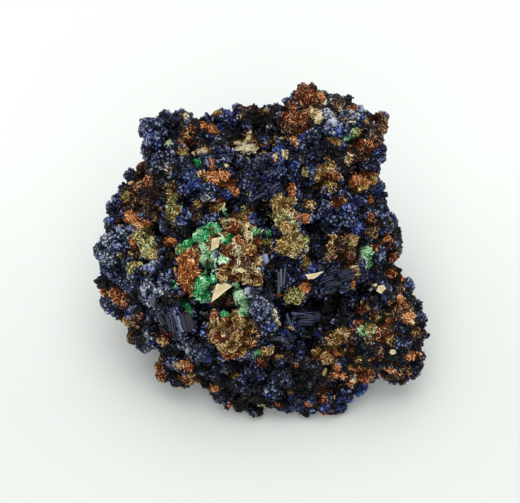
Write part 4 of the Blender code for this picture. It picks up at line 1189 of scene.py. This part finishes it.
@dataclass(frozen=True)
class GrainTree:
    """The Geometry Nodes tree that grows grains on the faces of one family and side.

    Density is the number of points tried on a square metre, before the spacing thins them. The biases
    are the powers that make small and dark grains the common ones.
    """

    name: str = "grow_grains"
    density: float = 9.0e6
    size_bias: float = 1.8
    tone_bias: float = 1.6

    def inputs(self) -> list[tuple[str, str, Any]]:
        """Lists the tree's inputs.

        Returns:
            Each input's name, kind and starting value.
        """
        return [
            ("Stand", "Int", 0), ("Spacing", "Float", 0.0006), ("Smallest", "Float", 0.0004),
            ("Largest", "Float", 0.0009), ("Tilt", "Float", 0.7), ("Twist", "Float", 3.15),
            ("Low Tone", "Float", 0.3), ("Tone Spread", "Float", 0.3), ("Tip Gain", "Float", 0.25),
            ("Seed", "Int", 0), ("Grains", "Collection", None), ("Finish", "Material", None),
        ]

    def build(self) -> bpy.types.NodeTree:
        """Builds the tree, from the ground's faces to coloured, realised grains.

        Returns:
            The tree.
        """
        tree = bpy.data.node_groups.new(self.name, "GeometryNodeTree")
        tree.interface.new_socket("Ground", in_out="INPUT", socket_type="NodeSocketGeometry")
        for label, kind, value in self.inputs():
            socket = tree.interface.new_socket(label, in_out="INPUT", socket_type=f"NodeSocket{kind}")
            if value is not None:
                socket.default_value = value
        tree.interface.new_socket("Grains", in_out="OUTPUT", socket_type="NodeSocketGeometry")
        sketch = NodeSketch(tree)
        given = sketch.add("NodeGroupInput", {}).outputs
        points = self.scatter(sketch, given)
        grains = self.plant(sketch, given, points)
        coloured = self.colour(sketch, given, grains)
        sketch.add("NodeGroupOutput", {0: coloured})
        return tree

    def attribute(self, sketch: NodeSketch, name: str, kind: str = "FLOAT") -> bpy.types.NodeSocket:
        """Reads a named attribute of the geometry."""
        return sketch.add("GeometryNodeInputNamedAttribute", {0: name}, data_type=kind).outputs[0]

    def dice(self, sketch: NodeSketch, seed: Any, low: Any, high: Any) -> bpy.types.NodeSocket:
        """Draws one random number for each grain."""
        node = sketch.add("FunctionNodeRandomValue", {2: low, 3: high, 8: seed}, data_type="FLOAT")
        return node.outputs[1]

    def scatter(self, sketch: NodeSketch, given: Any) -> bpy.types.Node:
        """Scatters points over the chosen faces, no closer than the spacing.

        Args:
            sketch: the tree to add to.
            given: the tree's inputs.

        Returns:
            The node that makes the points.
        """
        chosen = sketch.add(
            "FunctionNodeCompare",
            {2: self.attribute(sketch, "stand", "INT"), 3: given["Stand"]},
            data_type="INT", operation="EQUAL",
        )
        return sketch.add(
            "GeometryNodeDistributePointsOnFaces",
            {"Mesh": given["Ground"], "Selection": chosen.outputs[0], "Distance Min": given["Spacing"],
             "Density Max": self.density, "Seed": given["Seed"]},
            distribute_method="POISSON",
        )

    def plant(self, sketch: NodeSketch, given: Any, points: bpy.types.Node) -> bpy.types.NodeSocket:
        """Stands a turned and scaled grain on each point and makes the grains real.

        Args:
            sketch: the tree to add to.
            given: the tree's inputs.
            points: the node that makes the points.

        Returns:
            The grains' socket.
        """
        luck = self.dice(sketch, given["Seed"], 0.0, 1.0)
        marked = sketch.add(
            "GeometryNodeStoreNamedAttribute",
            {"Geometry": points.outputs[0], "Name": "luck", "Value": luck},
            data_type="FLOAT", domain="POINT",
        )
        back = sketch.maths("MULTIPLY", given["Tilt"], -1.0)
        bearing = self.attribute(sketch, "bearing")
        left = sketch.maths("SUBTRACT", bearing, given["Twist"])
        right = sketch.maths("ADD", bearing, given["Twist"])
        low = sketch.add("ShaderNodeCombineXYZ", {0: back, 1: back, 2: left})
        high = sketch.add("ShaderNodeCombineXYZ", {0: given["Tilt"], 1: given["Tilt"], 2: right})
        sway = sketch.add(
            "FunctionNodeRandomValue", {0: low.outputs[0], 1: high.outputs[0], 8: given["Seed"]},
            data_type="FLOAT_VECTOR",
        )
        turn = sketch.add("FunctionNodeEulerToRotation", {0: sway.outputs[0]})
        stand = sketch.add(
            "FunctionNodeRotateRotation", {0: points.outputs[2], 1: turn.outputs[0]},
            rotation_space="LOCAL",
        )
        roll = self.dice(sketch, sketch.maths("ADD", given["Seed"], 7.0), 0.0, 1.0)
        eased = sketch.maths("POWER", roll, self.size_bias)
        width = sketch.maths("SUBTRACT", given["Largest"], given["Smallest"])
        size = sketch.maths("MULTIPLY_ADD", eased, width, given["Smallest"])
        shelf = sketch.add(
            "GeometryNodeCollectionInfo",
            {0: given["Grains"], "Separate Children": True, "Reset Children": True},
        )
        placed = sketch.add(
            "GeometryNodeInstanceOnPoints",
            {"Points": marked.outputs[0], "Instance": shelf.outputs[0], "Pick Instance": True,
             "Rotation": stand.outputs[0], "Scale": size},
        )
        return sketch.add("GeometryNodeRealizeInstances", {0: placed.outputs[0]}).outputs[0]

    def colour(self, sketch: NodeSketch, given: Any, grains: Any) -> bpy.types.NodeSocket:
        """Writes the colour card's map on the grains and gives them their finish.

        Args:
            sketch: the tree to add to.
            given: the tree's inputs.
            grains: the grains' socket.

        Returns:
            The coloured grains' socket.
        """
        luck = self.attribute(sketch, "luck")
        around = self.attribute(sketch, "around")
        # Painted highlight and shade: a grain's own random tone gets the painted tip highlight at its
        # tip, and is then darkened and lightened by the ground's painted light and shade.
        eased = sketch.maths("POWER", luck, self.tone_bias)
        tone = sketch.maths("MULTIPLY_ADD", eased, given["Tone Spread"], given["Low Tone"])
        tone = sketch.maths("MULTIPLY_ADD", self.attribute(sketch, "tip"), given["Tip Gain"], tone)
        tone = sketch.maths("MULTIPLY", tone, self.attribute(sketch, "open_sky"))
        tone = sketch.maths("MULTIPLY_ADD", around, 0.02, tone)
        tone = sketch.maths("MINIMUM", sketch.maths("MAXIMUM", tone, 0.01), 0.99)
        variety = sketch.maths("FRACT", sketch.maths("MULTIPLY", luck, 37.0))
        share = sketch.maths("MULTIPLY_ADD", variety, 0.6, 0.15)
        share = sketch.maths("MULTIPLY_ADD", around, 0.15, share)
        row = sketch.maths("ADD", self.attribute(sketch, "row"), share)
        chart = sketch.add(
            "ShaderNodeCombineXYZ", {0: tone, 1: sketch.maths("DIVIDE", row, float(len(Mineral)))}
        )
        mapped = sketch.add(
            "GeometryNodeStoreNamedAttribute",
            {"Geometry": grains, "Name": CARD, "Value": chart.outputs[0]},
            data_type="FLOAT2", domain="CORNER",
        )
        dressed = sketch.add(
            "GeometryNodeSetMaterial", {"Geometry": mapped.outputs[0], "Material": given["Finish"]}
        )
        return dressed.outputs[0]


@dataclass
class Druse:
    """A coat of grains of one family on one side of the specimen.

    Spacing is the least distance between grains, which are from smallest to largest wide, in
    millimetres. Tilt and twist are how far they lean and turn, in radians. A grain's tone is the low
    tone, up to the tone spread more, and at its tip the painted tip highlight more, a painted highlight.
    """

    name: str
    family: Family
    side: Side
    spacing: float
    smallest: float
    largest: float
    tilt: float
    twist: float
    low_tone: float
    tone_spread: float
    tip_gain: float
    seed: int

    def grow(
        self, ground: bpy.types.Object, tree: bpy.types.NodeTree,
        grains: bpy.types.Collection, finish: bpy.types.Material,
    ) -> bpy.types.Object:
        """Grows the coat on the groundmass.

        Args:
            ground: the groundmass, with the attributes stand and row.
            tree: the tree that grows grains.
            grains: the different grains.
            finish: their material.

        Returns:
            The coat as one plain mesh.
        """
        piece = new_object(self.name, ground.data)
        modifier = piece.modifiers.new("grow", "NODES")
        modifier.node_group = tree
        values = {
            "Stand": self.family.value * 2 + self.side.value, "Spacing": self.spacing * MM,
            "Smallest": self.smallest * MM, "Largest": self.largest * MM, "Tilt": self.tilt,
            "Twist": self.twist, "Low Tone": self.low_tone, "Tone Spread": self.tone_spread,
            "Tip Gain": self.tip_gain, "Seed": self.seed, "Grains": grains, "Finish": finish,
        }
        for socket in tree.interface.items_tree:
            if socket.in_out == "INPUT" and socket.name in values:
                modifier[socket.identifier] = values[socket.name]
        settle(piece)
        spots = read_vectors(piece.data.vertices, "co")
        spots[:, 2] = np.maximum(spots[:, 2], 0.0)
        piece.data.vertices.foreach_set("co", spots.ravel())
        for name in ("tip", "around", "luck", "row", "stand", "open_sky", "bearing"):
            if name in piece.data.attributes:
                piece.data.attributes.remove(piece.data.attributes[name])
        return piece


@dataclass
class HandPlaced:
    """A piece whose parts are placed one by one on the display side."""

    face: DisplayFace
    surface: MineralMap
    name: str = "placed"
    seed: int = 1
    bm: bmesh.types.BMesh = field(default_factory=bmesh.new)
    tones: list[float] = field(default_factory=list)
    rows: list[int] = field(default_factory=list)

    def finish(self, material: bpy.types.Material) -> bpy.types.Object:
        """Makes the piece of what was added, with the colour card's map.

        Args:
            material: the piece's finish.

        Returns:
            The piece.
        """
        bmesh.ops.recalc_face_normals(self.bm, faces=self.bm.faces)
        mesh = bpy.data.meshes.new(self.name)
        self.bm.to_mesh(mesh)
        self.bm.free()
        dice = np.random.default_rng(self.seed)
        corners, owner = corner_owners(mesh)
        tone = np.array(self.tones)[corners] + 0.03 * dice.random(len(corners))
        write_chart(mesh, tone, np.array(self.rows)[owner] + 0.35 + 0.3 * dice.random(len(corners)))
        mesh.materials.append(material)
        return new_object(self.name, mesh)


@dataclass
class AzuriteLeaves(HandPlaced):
    """The large tabular crystals, in books of thin leaves that end unevenly.

    Steps is the number of stretches along a leaf, and ribs the number of levels up its side. The
    unruly angles are how far leaves stray from their book, and own mineral is the share of leaves
    that are of their book's mineral.
    """

    name: str = "azurite_leaves"
    seed: int = 12
    steps: int = 7
    ribs: int = 7
    unruly_spin: float = 0.09
    unruly_lean: float = 0.14
    own_mineral: float = 0.75

    def add_leaf(self, pose: Matrix, book: Book, dice: random.Random, row: int) -> None:
        """Adds one leaf, standing up from its foot, with a stepped, chisel-edged rim.

        Args:
            pose: where the leaf's foot lies: x runs along it and z up it.
            book: the book that it belongs to.
            dice: the source of its unevenness.
            row: its mineral's row on the colour card.
        """
        length = book.length * dice.uniform(0.55, 1.0)
        half = 0.5 * book.pitch * dice.uniform(0.66, 0.92)
        shift = dice.uniform(-0.18, 0.18) * book.length
        base = dice.uniform(0.13, 0.28)
        levels = [-0.6] + [(i + dice.uniform(-0.2, 0.2)) / self.ribs for i in range(self.ribs)]
        relief = [dice.uniform(-0.05, 0.05) for _ in levels]
        # The leaf's buried foot is painted dark, painted shade where it enters the ground; the ribs up
        # its sides differ in tone at random, as striations.
        shades = [0.03] + [base + 0.75 * dice.random() ** 4 - 0.1 for _ in range(self.ribs)]
        columns = []
        for i in range(self.steps + 1):
            along = 2.0 * i / self.steps - 1.0
            rim = book.stand * (1.0 - book.cut * abs(along) ** 6) * dice.uniform(0.9, 1.03)
            sway = book.bow * (1.0 - along * along) + dice.uniform(-0.03, 0.03)
            x = along * length / 2 + shift + dice.uniform(-0.12, 0.12)
            front = [(half + r, rim * level) for level, r in zip(levels, relief)]
            back = [(-half - r, rim * level) for level, r in zip(levels, relief)]
            outline = front + [(0.3 * half, rim)] + list(reversed(back))
            spots = [pose @ (Vector((x, y + sway, z)) * MM) for y, z in outline]
            columns.append([self.bm.verts.new(spot) for spot in spots])
            # The crest of the rim is painted lighter, a painted highlight.
            self.tones.extend(shades + [base + 0.4] + list(reversed(shades)))
        around = len(columns[0])
        for near, far in zip(columns, columns[1:]):
            for i in range(around):
                j = (i + 1) % around
                self.bm.faces.new((near[j], near[i], far[i], far[j]))
        self.bm.faces.new(columns[0])
        self.bm.faces.new(list(reversed(columns[-1])))
        self.rows.extend([row] * (around * self.steps + 2))

    def build(self, material: bpy.types.Material) -> bpy.types.Object:
        """Builds every book of leaves as one piece.

        Args:
            material: the leaves' finish.

        Returns:
            The piece.
        """
        dice = random.Random(self.seed)
        for book in BOOKS:
            out = self.surface.anchor(book.across, book.up)
            if out is None:
                continue
            pose = (
                Matrix.Translation(self.face.place(book.across, book.up, out + book.lift))
                @ self.face.turn() @ Matrix.Rotation(math.radians(book.turn), 4, "Z")
                @ Matrix.Rotation(math.radians(book.tip - 90.0), 4, "X")
            )
            for i in range(book.leaves):
                share = i / max(book.leaves - 1, 1) - 0.5
                offset = share * book.pitch * (book.leaves - 1)
                drop = -book.stand / 2 - dice.uniform(0.0, 0.3) - abs(share) * 0.5
                spot = Matrix.Translation(Vector((0.0, offset, drop)) * MM)
                stray = dice.gauss(0.0, self.unruly_spin)
                spin = Matrix.Rotation(math.radians(share * book.fan) + stray, 4, "Z")
                lean = Matrix.Rotation(dice.gauss(0.0, self.unruly_lean), 4, "X")
                row = book.mineral if dice.random() < self.own_mineral else Mineral.NAVY
                self.add_leaf(pose @ spot @ spin @ lean, book, dice, row.value)
        return self.finish(material)


@dataclass
class PaleChips(HandPlaced):
    """The chips and splinters of carbonate and clay that stick to the display side.

    Proud is how far their middles stand out of the surface.
    """

    name: str = "pale_chips"
    seed: int = 31
    proud: float = 0.1
    chip_height: float = 0.3
    chip_corners: int = 9

    def add_slab(
        self, pose: Matrix, ring: list[Vector], height: float, mineral: Mineral, dice: random.Random
    ) -> None:
        """Adds one slab with a bevelled, uneven rim around a nearly flat face.

        Args:
            pose: where the slab lies: z runs out of the surface.
            ring: its rim, turning to the left as seen from outside, in millimetres.
            height: how far its face stands above its middle plane, in millimetres.
            mineral: what it is made of.
            dice: the source of its unevenness.
        """
        layers = []
        # Painted shade and highlight: the slab's sunk underside is painted dark and its top rim lighter,
        # each with a random spread.
        for level, grow, tone in ((-1.6, 0.86, 0.12), (0.3, 1.0, 0.34), (0.9, 0.94, 0.56)):
            spots = [Vector((p.x * grow, p.y * grow, p.z + level * height)) for p in ring]
            layers.append([self.bm.verts.new(pose @ (spot * MM)) for spot in spots])
            self.tones.extend(tone + dice.uniform(-0.12, 0.16) for _ in spots)
        middle = sum(ring, Vector()) / len(ring)
        crown = self.bm.verts.new(pose @ ((middle + Vector((0.0, 0.0, height))) * MM))
        self.tones.append(0.42)
        corners = len(ring)
        self.bm.faces.new(list(reversed(layers[0])))
        for lower, upper in zip(layers, layers[1:]):
            band(self.bm, lower, upper)
        for i in range(corners):
            self.bm.faces.new((layers[-1][i], layers[-1][(i + 1) % corners], crown))
        self.rows.extend([mineral.value] * (3 * corners + 1))

    def add_chips(self, dice: random.Random) -> None:
        """Adds the small broken flakes, half sunk in the surface.

        Args:
            dice: the source of their unevenness.
        """
        for across, up, length, width, turn, mineral in CHIPS:
            out = self.surface.anchor(across, up)
            if out is None:
                continue
            pose = (
                Matrix.Translation(self.face.place(across, up, out + self.proud)) @ self.face.turn()
                @ Matrix.Rotation(math.radians(turn), 4, "Z")
                @ Matrix.Rotation(dice.uniform(-0.6, 0.6), 4, "X")
                @ Matrix.Rotation(dice.uniform(-0.4, 0.4), 4, "Y")
            )
            ring = []
            for i in range(self.chip_corners):
                angle = math.tau * (i + dice.uniform(-0.25, 0.25)) / self.chip_corners
                reach = dice.uniform(0.72, 1.1)
                x, y = math.cos(angle) * length / 2, math.sin(angle) * width / 2
                ring.append(Vector((x * reach, y * reach, dice.uniform(-0.05, 0.05))))
            self.add_slab(pose, ring, self.chip_height, mineral, dice)

    def add_splinters(self, dice: random.Random) -> None:
        """Adds the larger splinters, which lie on the grains with straight broken edges.

        Args:
            dice: the source of their unevenness.
        """
        for height, rise, corners in SPLINTERS:
            outs = [self.surface.anchor(across, up) for across, up in corners]
            level = max(out for out in outs if out is not None)
            middle = Vector((sum(c[0] for c in corners), sum(c[1] for c in corners), 0.0)) / len(corners)
            place = self.face.place(middle.x, middle.y, level + self.proud)
            pose = Matrix.Translation(place) @ self.face.turn()
            ring = []
            for i, (across, up) in enumerate(corners):
                after = corners[(i + 1) % len(corners)]
                for share in (0.0, 0.33, 0.67):
                    x = across + share * (after[0] - across) + dice.uniform(-0.07, 0.07)
                    y = up + share * (after[1] - up) + dice.uniform(-0.07, 0.07)
                    lift = rise * (1.0 - abs(x - corners[0][0]) / 4.0) + dice.uniform(-0.06, 0.06)
                    ring.append(Vector((x - middle.x, y - middle.y, lift)))
            self.add_slab(pose, ring, height, Mineral.CREAM, dice)

    def build(self, material: bpy.types.Material) -> bpy.types.Object:
        """Builds every chip and splinter as one piece.

        Args:
            material: the chips' finish.

        Returns:
            The piece.
        """
        dice = random.Random(self.seed)
        self.add_chips(dice)
        self.add_splinters(dice)
        return self.finish(material)


@dataclass
class Specimen:
    """The whole specimen."""

    face: DisplayFace = field(default_factory=DisplayFace)

    def finishes(self) -> dict[str, bpy.types.Material]:
        """Makes the materials.

        Returns:
            The materials by name.
        """
        card = ColourCard().build()
        kinds = [
            Finish("groundmass", grain=0.45, bump=0.5, gloss_shift=0.15, specular=0.1),
            Finish("azurite_grains", grain=0.3, bump=0.15, gloss_shift=-0.12, specular=0.26),
            Finish(
                "azurite_leaves", grain=0.8, bump=0.5, gloss_shift=-0.06, specular=0.36, streaks=0.6
            ),
            Finish("iron_oxide", grain=0.25, bump=0.5, specular=0.2),
            Finish("earthy", grain=0.25, bump=0.5, specular=0.2),
            Finish("malachite", grain=0.2, bump=0.3, specular=0.25),
            Finish("pale_chips", grain=0.4, bump=0.4, specular=0.35),
        ]
        return {kind.name: kind.make(card) for kind in kinds}

    def druses(self) -> list[tuple[GrainShape, str, Druse]]:
        """Lists the coats of grains.

        Returns:
            For each coat, its grains' shape, its finish and its sizes.
        """
        azurite, iron, earth, green = Family
        shown, rest = Side
        crystal, blades, crust = GrainShape
        return [
            (crystal, "azurite_grains",
             Druse("azurite_druse", azurite, shown, 0.415, 0.5, 1.05, 0.7, 0.7, 0.07, 0.24, 0.48, 3)),
            (blades, "azurite_grains",
             Druse("azurite_blades", azurite, shown, 1.9, 1.1, 2.0, 0.45, 0.2, 0.1, 0.3, 0.3, 13)),
            (crystal, "azurite_grains",
             Druse("azurite_druse_back", azurite, rest, 0.45, 0.54, 1.16, 0.5, 0.5, 0.06, 0.34, 0.46, 4)),
            (blades, "azurite_grains",
             Druse("azurite_blades_back", azurite, rest, 2.2, 1.4, 2.8, 0.45, 0.2, 0.1, 0.3, 0.3, 14)),
            (crust, "iron_oxide",
             Druse("iron_crust", iron, shown, 0.386, 0.48, 1.15, 0.5, 3.1, 0.19, 0.22, 0.62, 5)),
            (crust, "iron_oxide",
             Druse("iron_crust_back", iron, rest, 0.44, 0.52, 1.24, 0.5, 3.1, 0.18, 0.3, 0.5, 6)),
            (crust, "earthy",
             Druse("earthy_crust", earth, shown, 0.34, 0.45, 1.1, 0.5, 3.1, 0.21, 0.22, 0.72, 7)),
            (crust, "earthy",
             Druse("earthy_crust_back", earth, rest, 0.44, 0.52, 1.24, 0.5, 3.1, 0.22, 0.3, 0.55, 8)),
            (crust, "malachite",
             Druse("malachite_moss", green, shown, 0.29, 0.42, 0.95, 0.5, 3.1, 0.2, 0.34, 0.74, 9)),
        ]

    def build(self) -> list[bpy.types.Object]:
        """Builds and dresses every piece.

        Returns:
            The pieces, the groundmass first.
        """
        finishes = self.finishes()
        ground = Groundmass(self.face)
        ground.build()
        ground.dress(finishes["groundmass"])
        shelves = {shape: GrainMaker(shape, seed=i).make() for i, shape in enumerate(GrainShape, 1)}
        tree = GrainTree().build()
        pieces = [ground.piece]
        for shape, finish, druse in self.druses():
            pieces.append(druse.grow(ground.piece, tree, shelves[shape], finishes[finish]))
        for shelf in shelves.values():
            for grain in list(shelf.objects):
                bpy.data.objects.remove(grain)
            bpy.data.collections.remove(shelf)
        ground_map = MineralMap(self.face, ground.surface())
        for kind in (AzuriteLeaves, PaleChips):
            placed = kind(self.face, ground_map)
            pieces.append(placed.build(finishes[placed.name]))
        for name in ("stand", "row", "open_sky", "bearing"):
            ground.piece.data.attributes.remove(ground.piece.data.attributes[name])
        return pieces


@dataclass(frozen=True)
class Studio:
    """The pale floor, the soft light and the camera."""

    face: DisplayFace
    lens: float = 100.0
    offset: tuple[float, float] = (-0.36, -0.27)
    # Near the front the floor's own pale tint is painted darker, painted shade where the light falls off.
    near_tint_and_shade: tuple[float, float, float, float] = (0.71, 0.75, 0.715, 1.0)
    far_tint: tuple[float, float, float, float] = (0.805, 0.84, 0.81, 1.0)
    sky: float = 0.54

    def floor(self) -> None:
        """Lays a pale floor under the specimen, painted darker towards the front as painted shade, with a
        faint mottle.
        """
        bpy.ops.mesh.primitive_plane_add(size=2.4, location=(0.0, 0.0, -0.00005))
        floor = bpy.context.object
        floor.name = "floor"
        material = bpy.data.materials.new("pale_floor")
        material.use_nodes = True
        shader = material.node_tree.nodes["Principled BSDF"]
        sketch = NodeSketch(material.node_tree)
        space = sketch.add("ShaderNodeTexCoord", {})
        cloud = sketch.add("ShaderNodeTexNoise", {0: space.outputs["Object"], "Scale": 30.0})
        place = sketch.add("ShaderNodeSeparateXYZ", {0: space.outputs["Object"]})
        # Painted shade: the floor is painted darker towards the front.
        depth = sketch.add("ShaderNodeMapRange", {0: place.outputs[1], 1: -0.02, 2: 0.045})
        blend = sketch.maths("MULTIPLY_ADD", cloud.outputs[0], 0.08, depth.outputs[0])
        tint = sketch.add(
            "ShaderNodeMix", {0: blend, 6: self.near_tint_and_shade, 7: self.far_tint}, data_type="RGBA"
        )
        material.node_tree.links.new(tint.outputs[2], shader.inputs["Base Color"])
        shader.inputs["Roughness"].default_value = 0.9
        shader.inputs["Specular IOR Level"].default_value = 0.05
        floor.data.materials.append(material)

    def lamp(self, name: str, spot: Sequence[float], size: float, power: float) -> None:
        """Hangs a square soft light that looks at the specimen.

        Args:
            name: the light's name.
            spot: where it hangs, in metres.
            size: the length of its side, in metres.
            power: its power in watts.
        """
        light = bpy.data.lights.new(name, "AREA")
        light.size = size
        light.energy = power
        lamp = bpy.data.objects.new(name, light)
        lamp.location = spot
        aim = Vector((0.0, 0.0, 0.02)) - Vector(spot)
        lamp.rotation_euler = aim.to_track_quat("-Z", "Y").to_euler()
        bpy.context.scene.collection.objects.link(lamp)

    def camera(self) -> None:
        """Sets the camera square in front of the display side."""
        camera = bpy.data.cameras.new("camera")
        camera.lens = self.lens
        camera.sensor_width = 36.0
        camera.clip_start = 0.01
        eye = bpy.data.objects.new("camera", camera)
        bpy.context.scene.collection.objects.link(eye)
        spot = self.face.place(0.0, 0.0, 0.0) + self.face.turn().to_3x3() @ Vector(
            (self.offset[0] * MM, self.offset[1] * MM, self.face.read_from * MM)
        )
        eye.matrix_world = Matrix.Translation(spot) @ self.face.turn()
        bpy.context.scene.camera = eye

    def build(self) -> None:
        """Sets up the floor, the light and the camera."""
        self.floor()
        self.lamp("softbox", (-0.02, 0.16, 0.5), 0.6, 2.2)
        self.lamp("front", (0.0, -0.4, 0.34), 0.5, 0.95)
        world = bpy.data.worlds.new("studio")
        world.use_nodes = True
        background = world.node_tree.nodes["Background"]
        background.inputs["Color"].default_value = (1.0, 1.0, 1.0, 1.0)
        background.inputs["Strength"].default_value = self.sky
        bpy.context.scene.world = world
        bpy.context.scene.view_settings.view_transform = "Standard"
        self.camera()


def main() -> None:
    """Builds the studio and the specimen, and ties every piece to the frame."""
    logging.basicConfig(level=logging.INFO, format="%(name)s: %(message)s")
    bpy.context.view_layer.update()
    specimen = Specimen()
    Studio(specimen.face).build()
    pieces = specimen.build()
    for piece in pieces:
        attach(piece, BODY)
        log.info("%s: %d triangles", piece.name, (face_sizes(piece.data) - 2).sum())
    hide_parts(NODE)


if __name__ == "__main__":
    main()
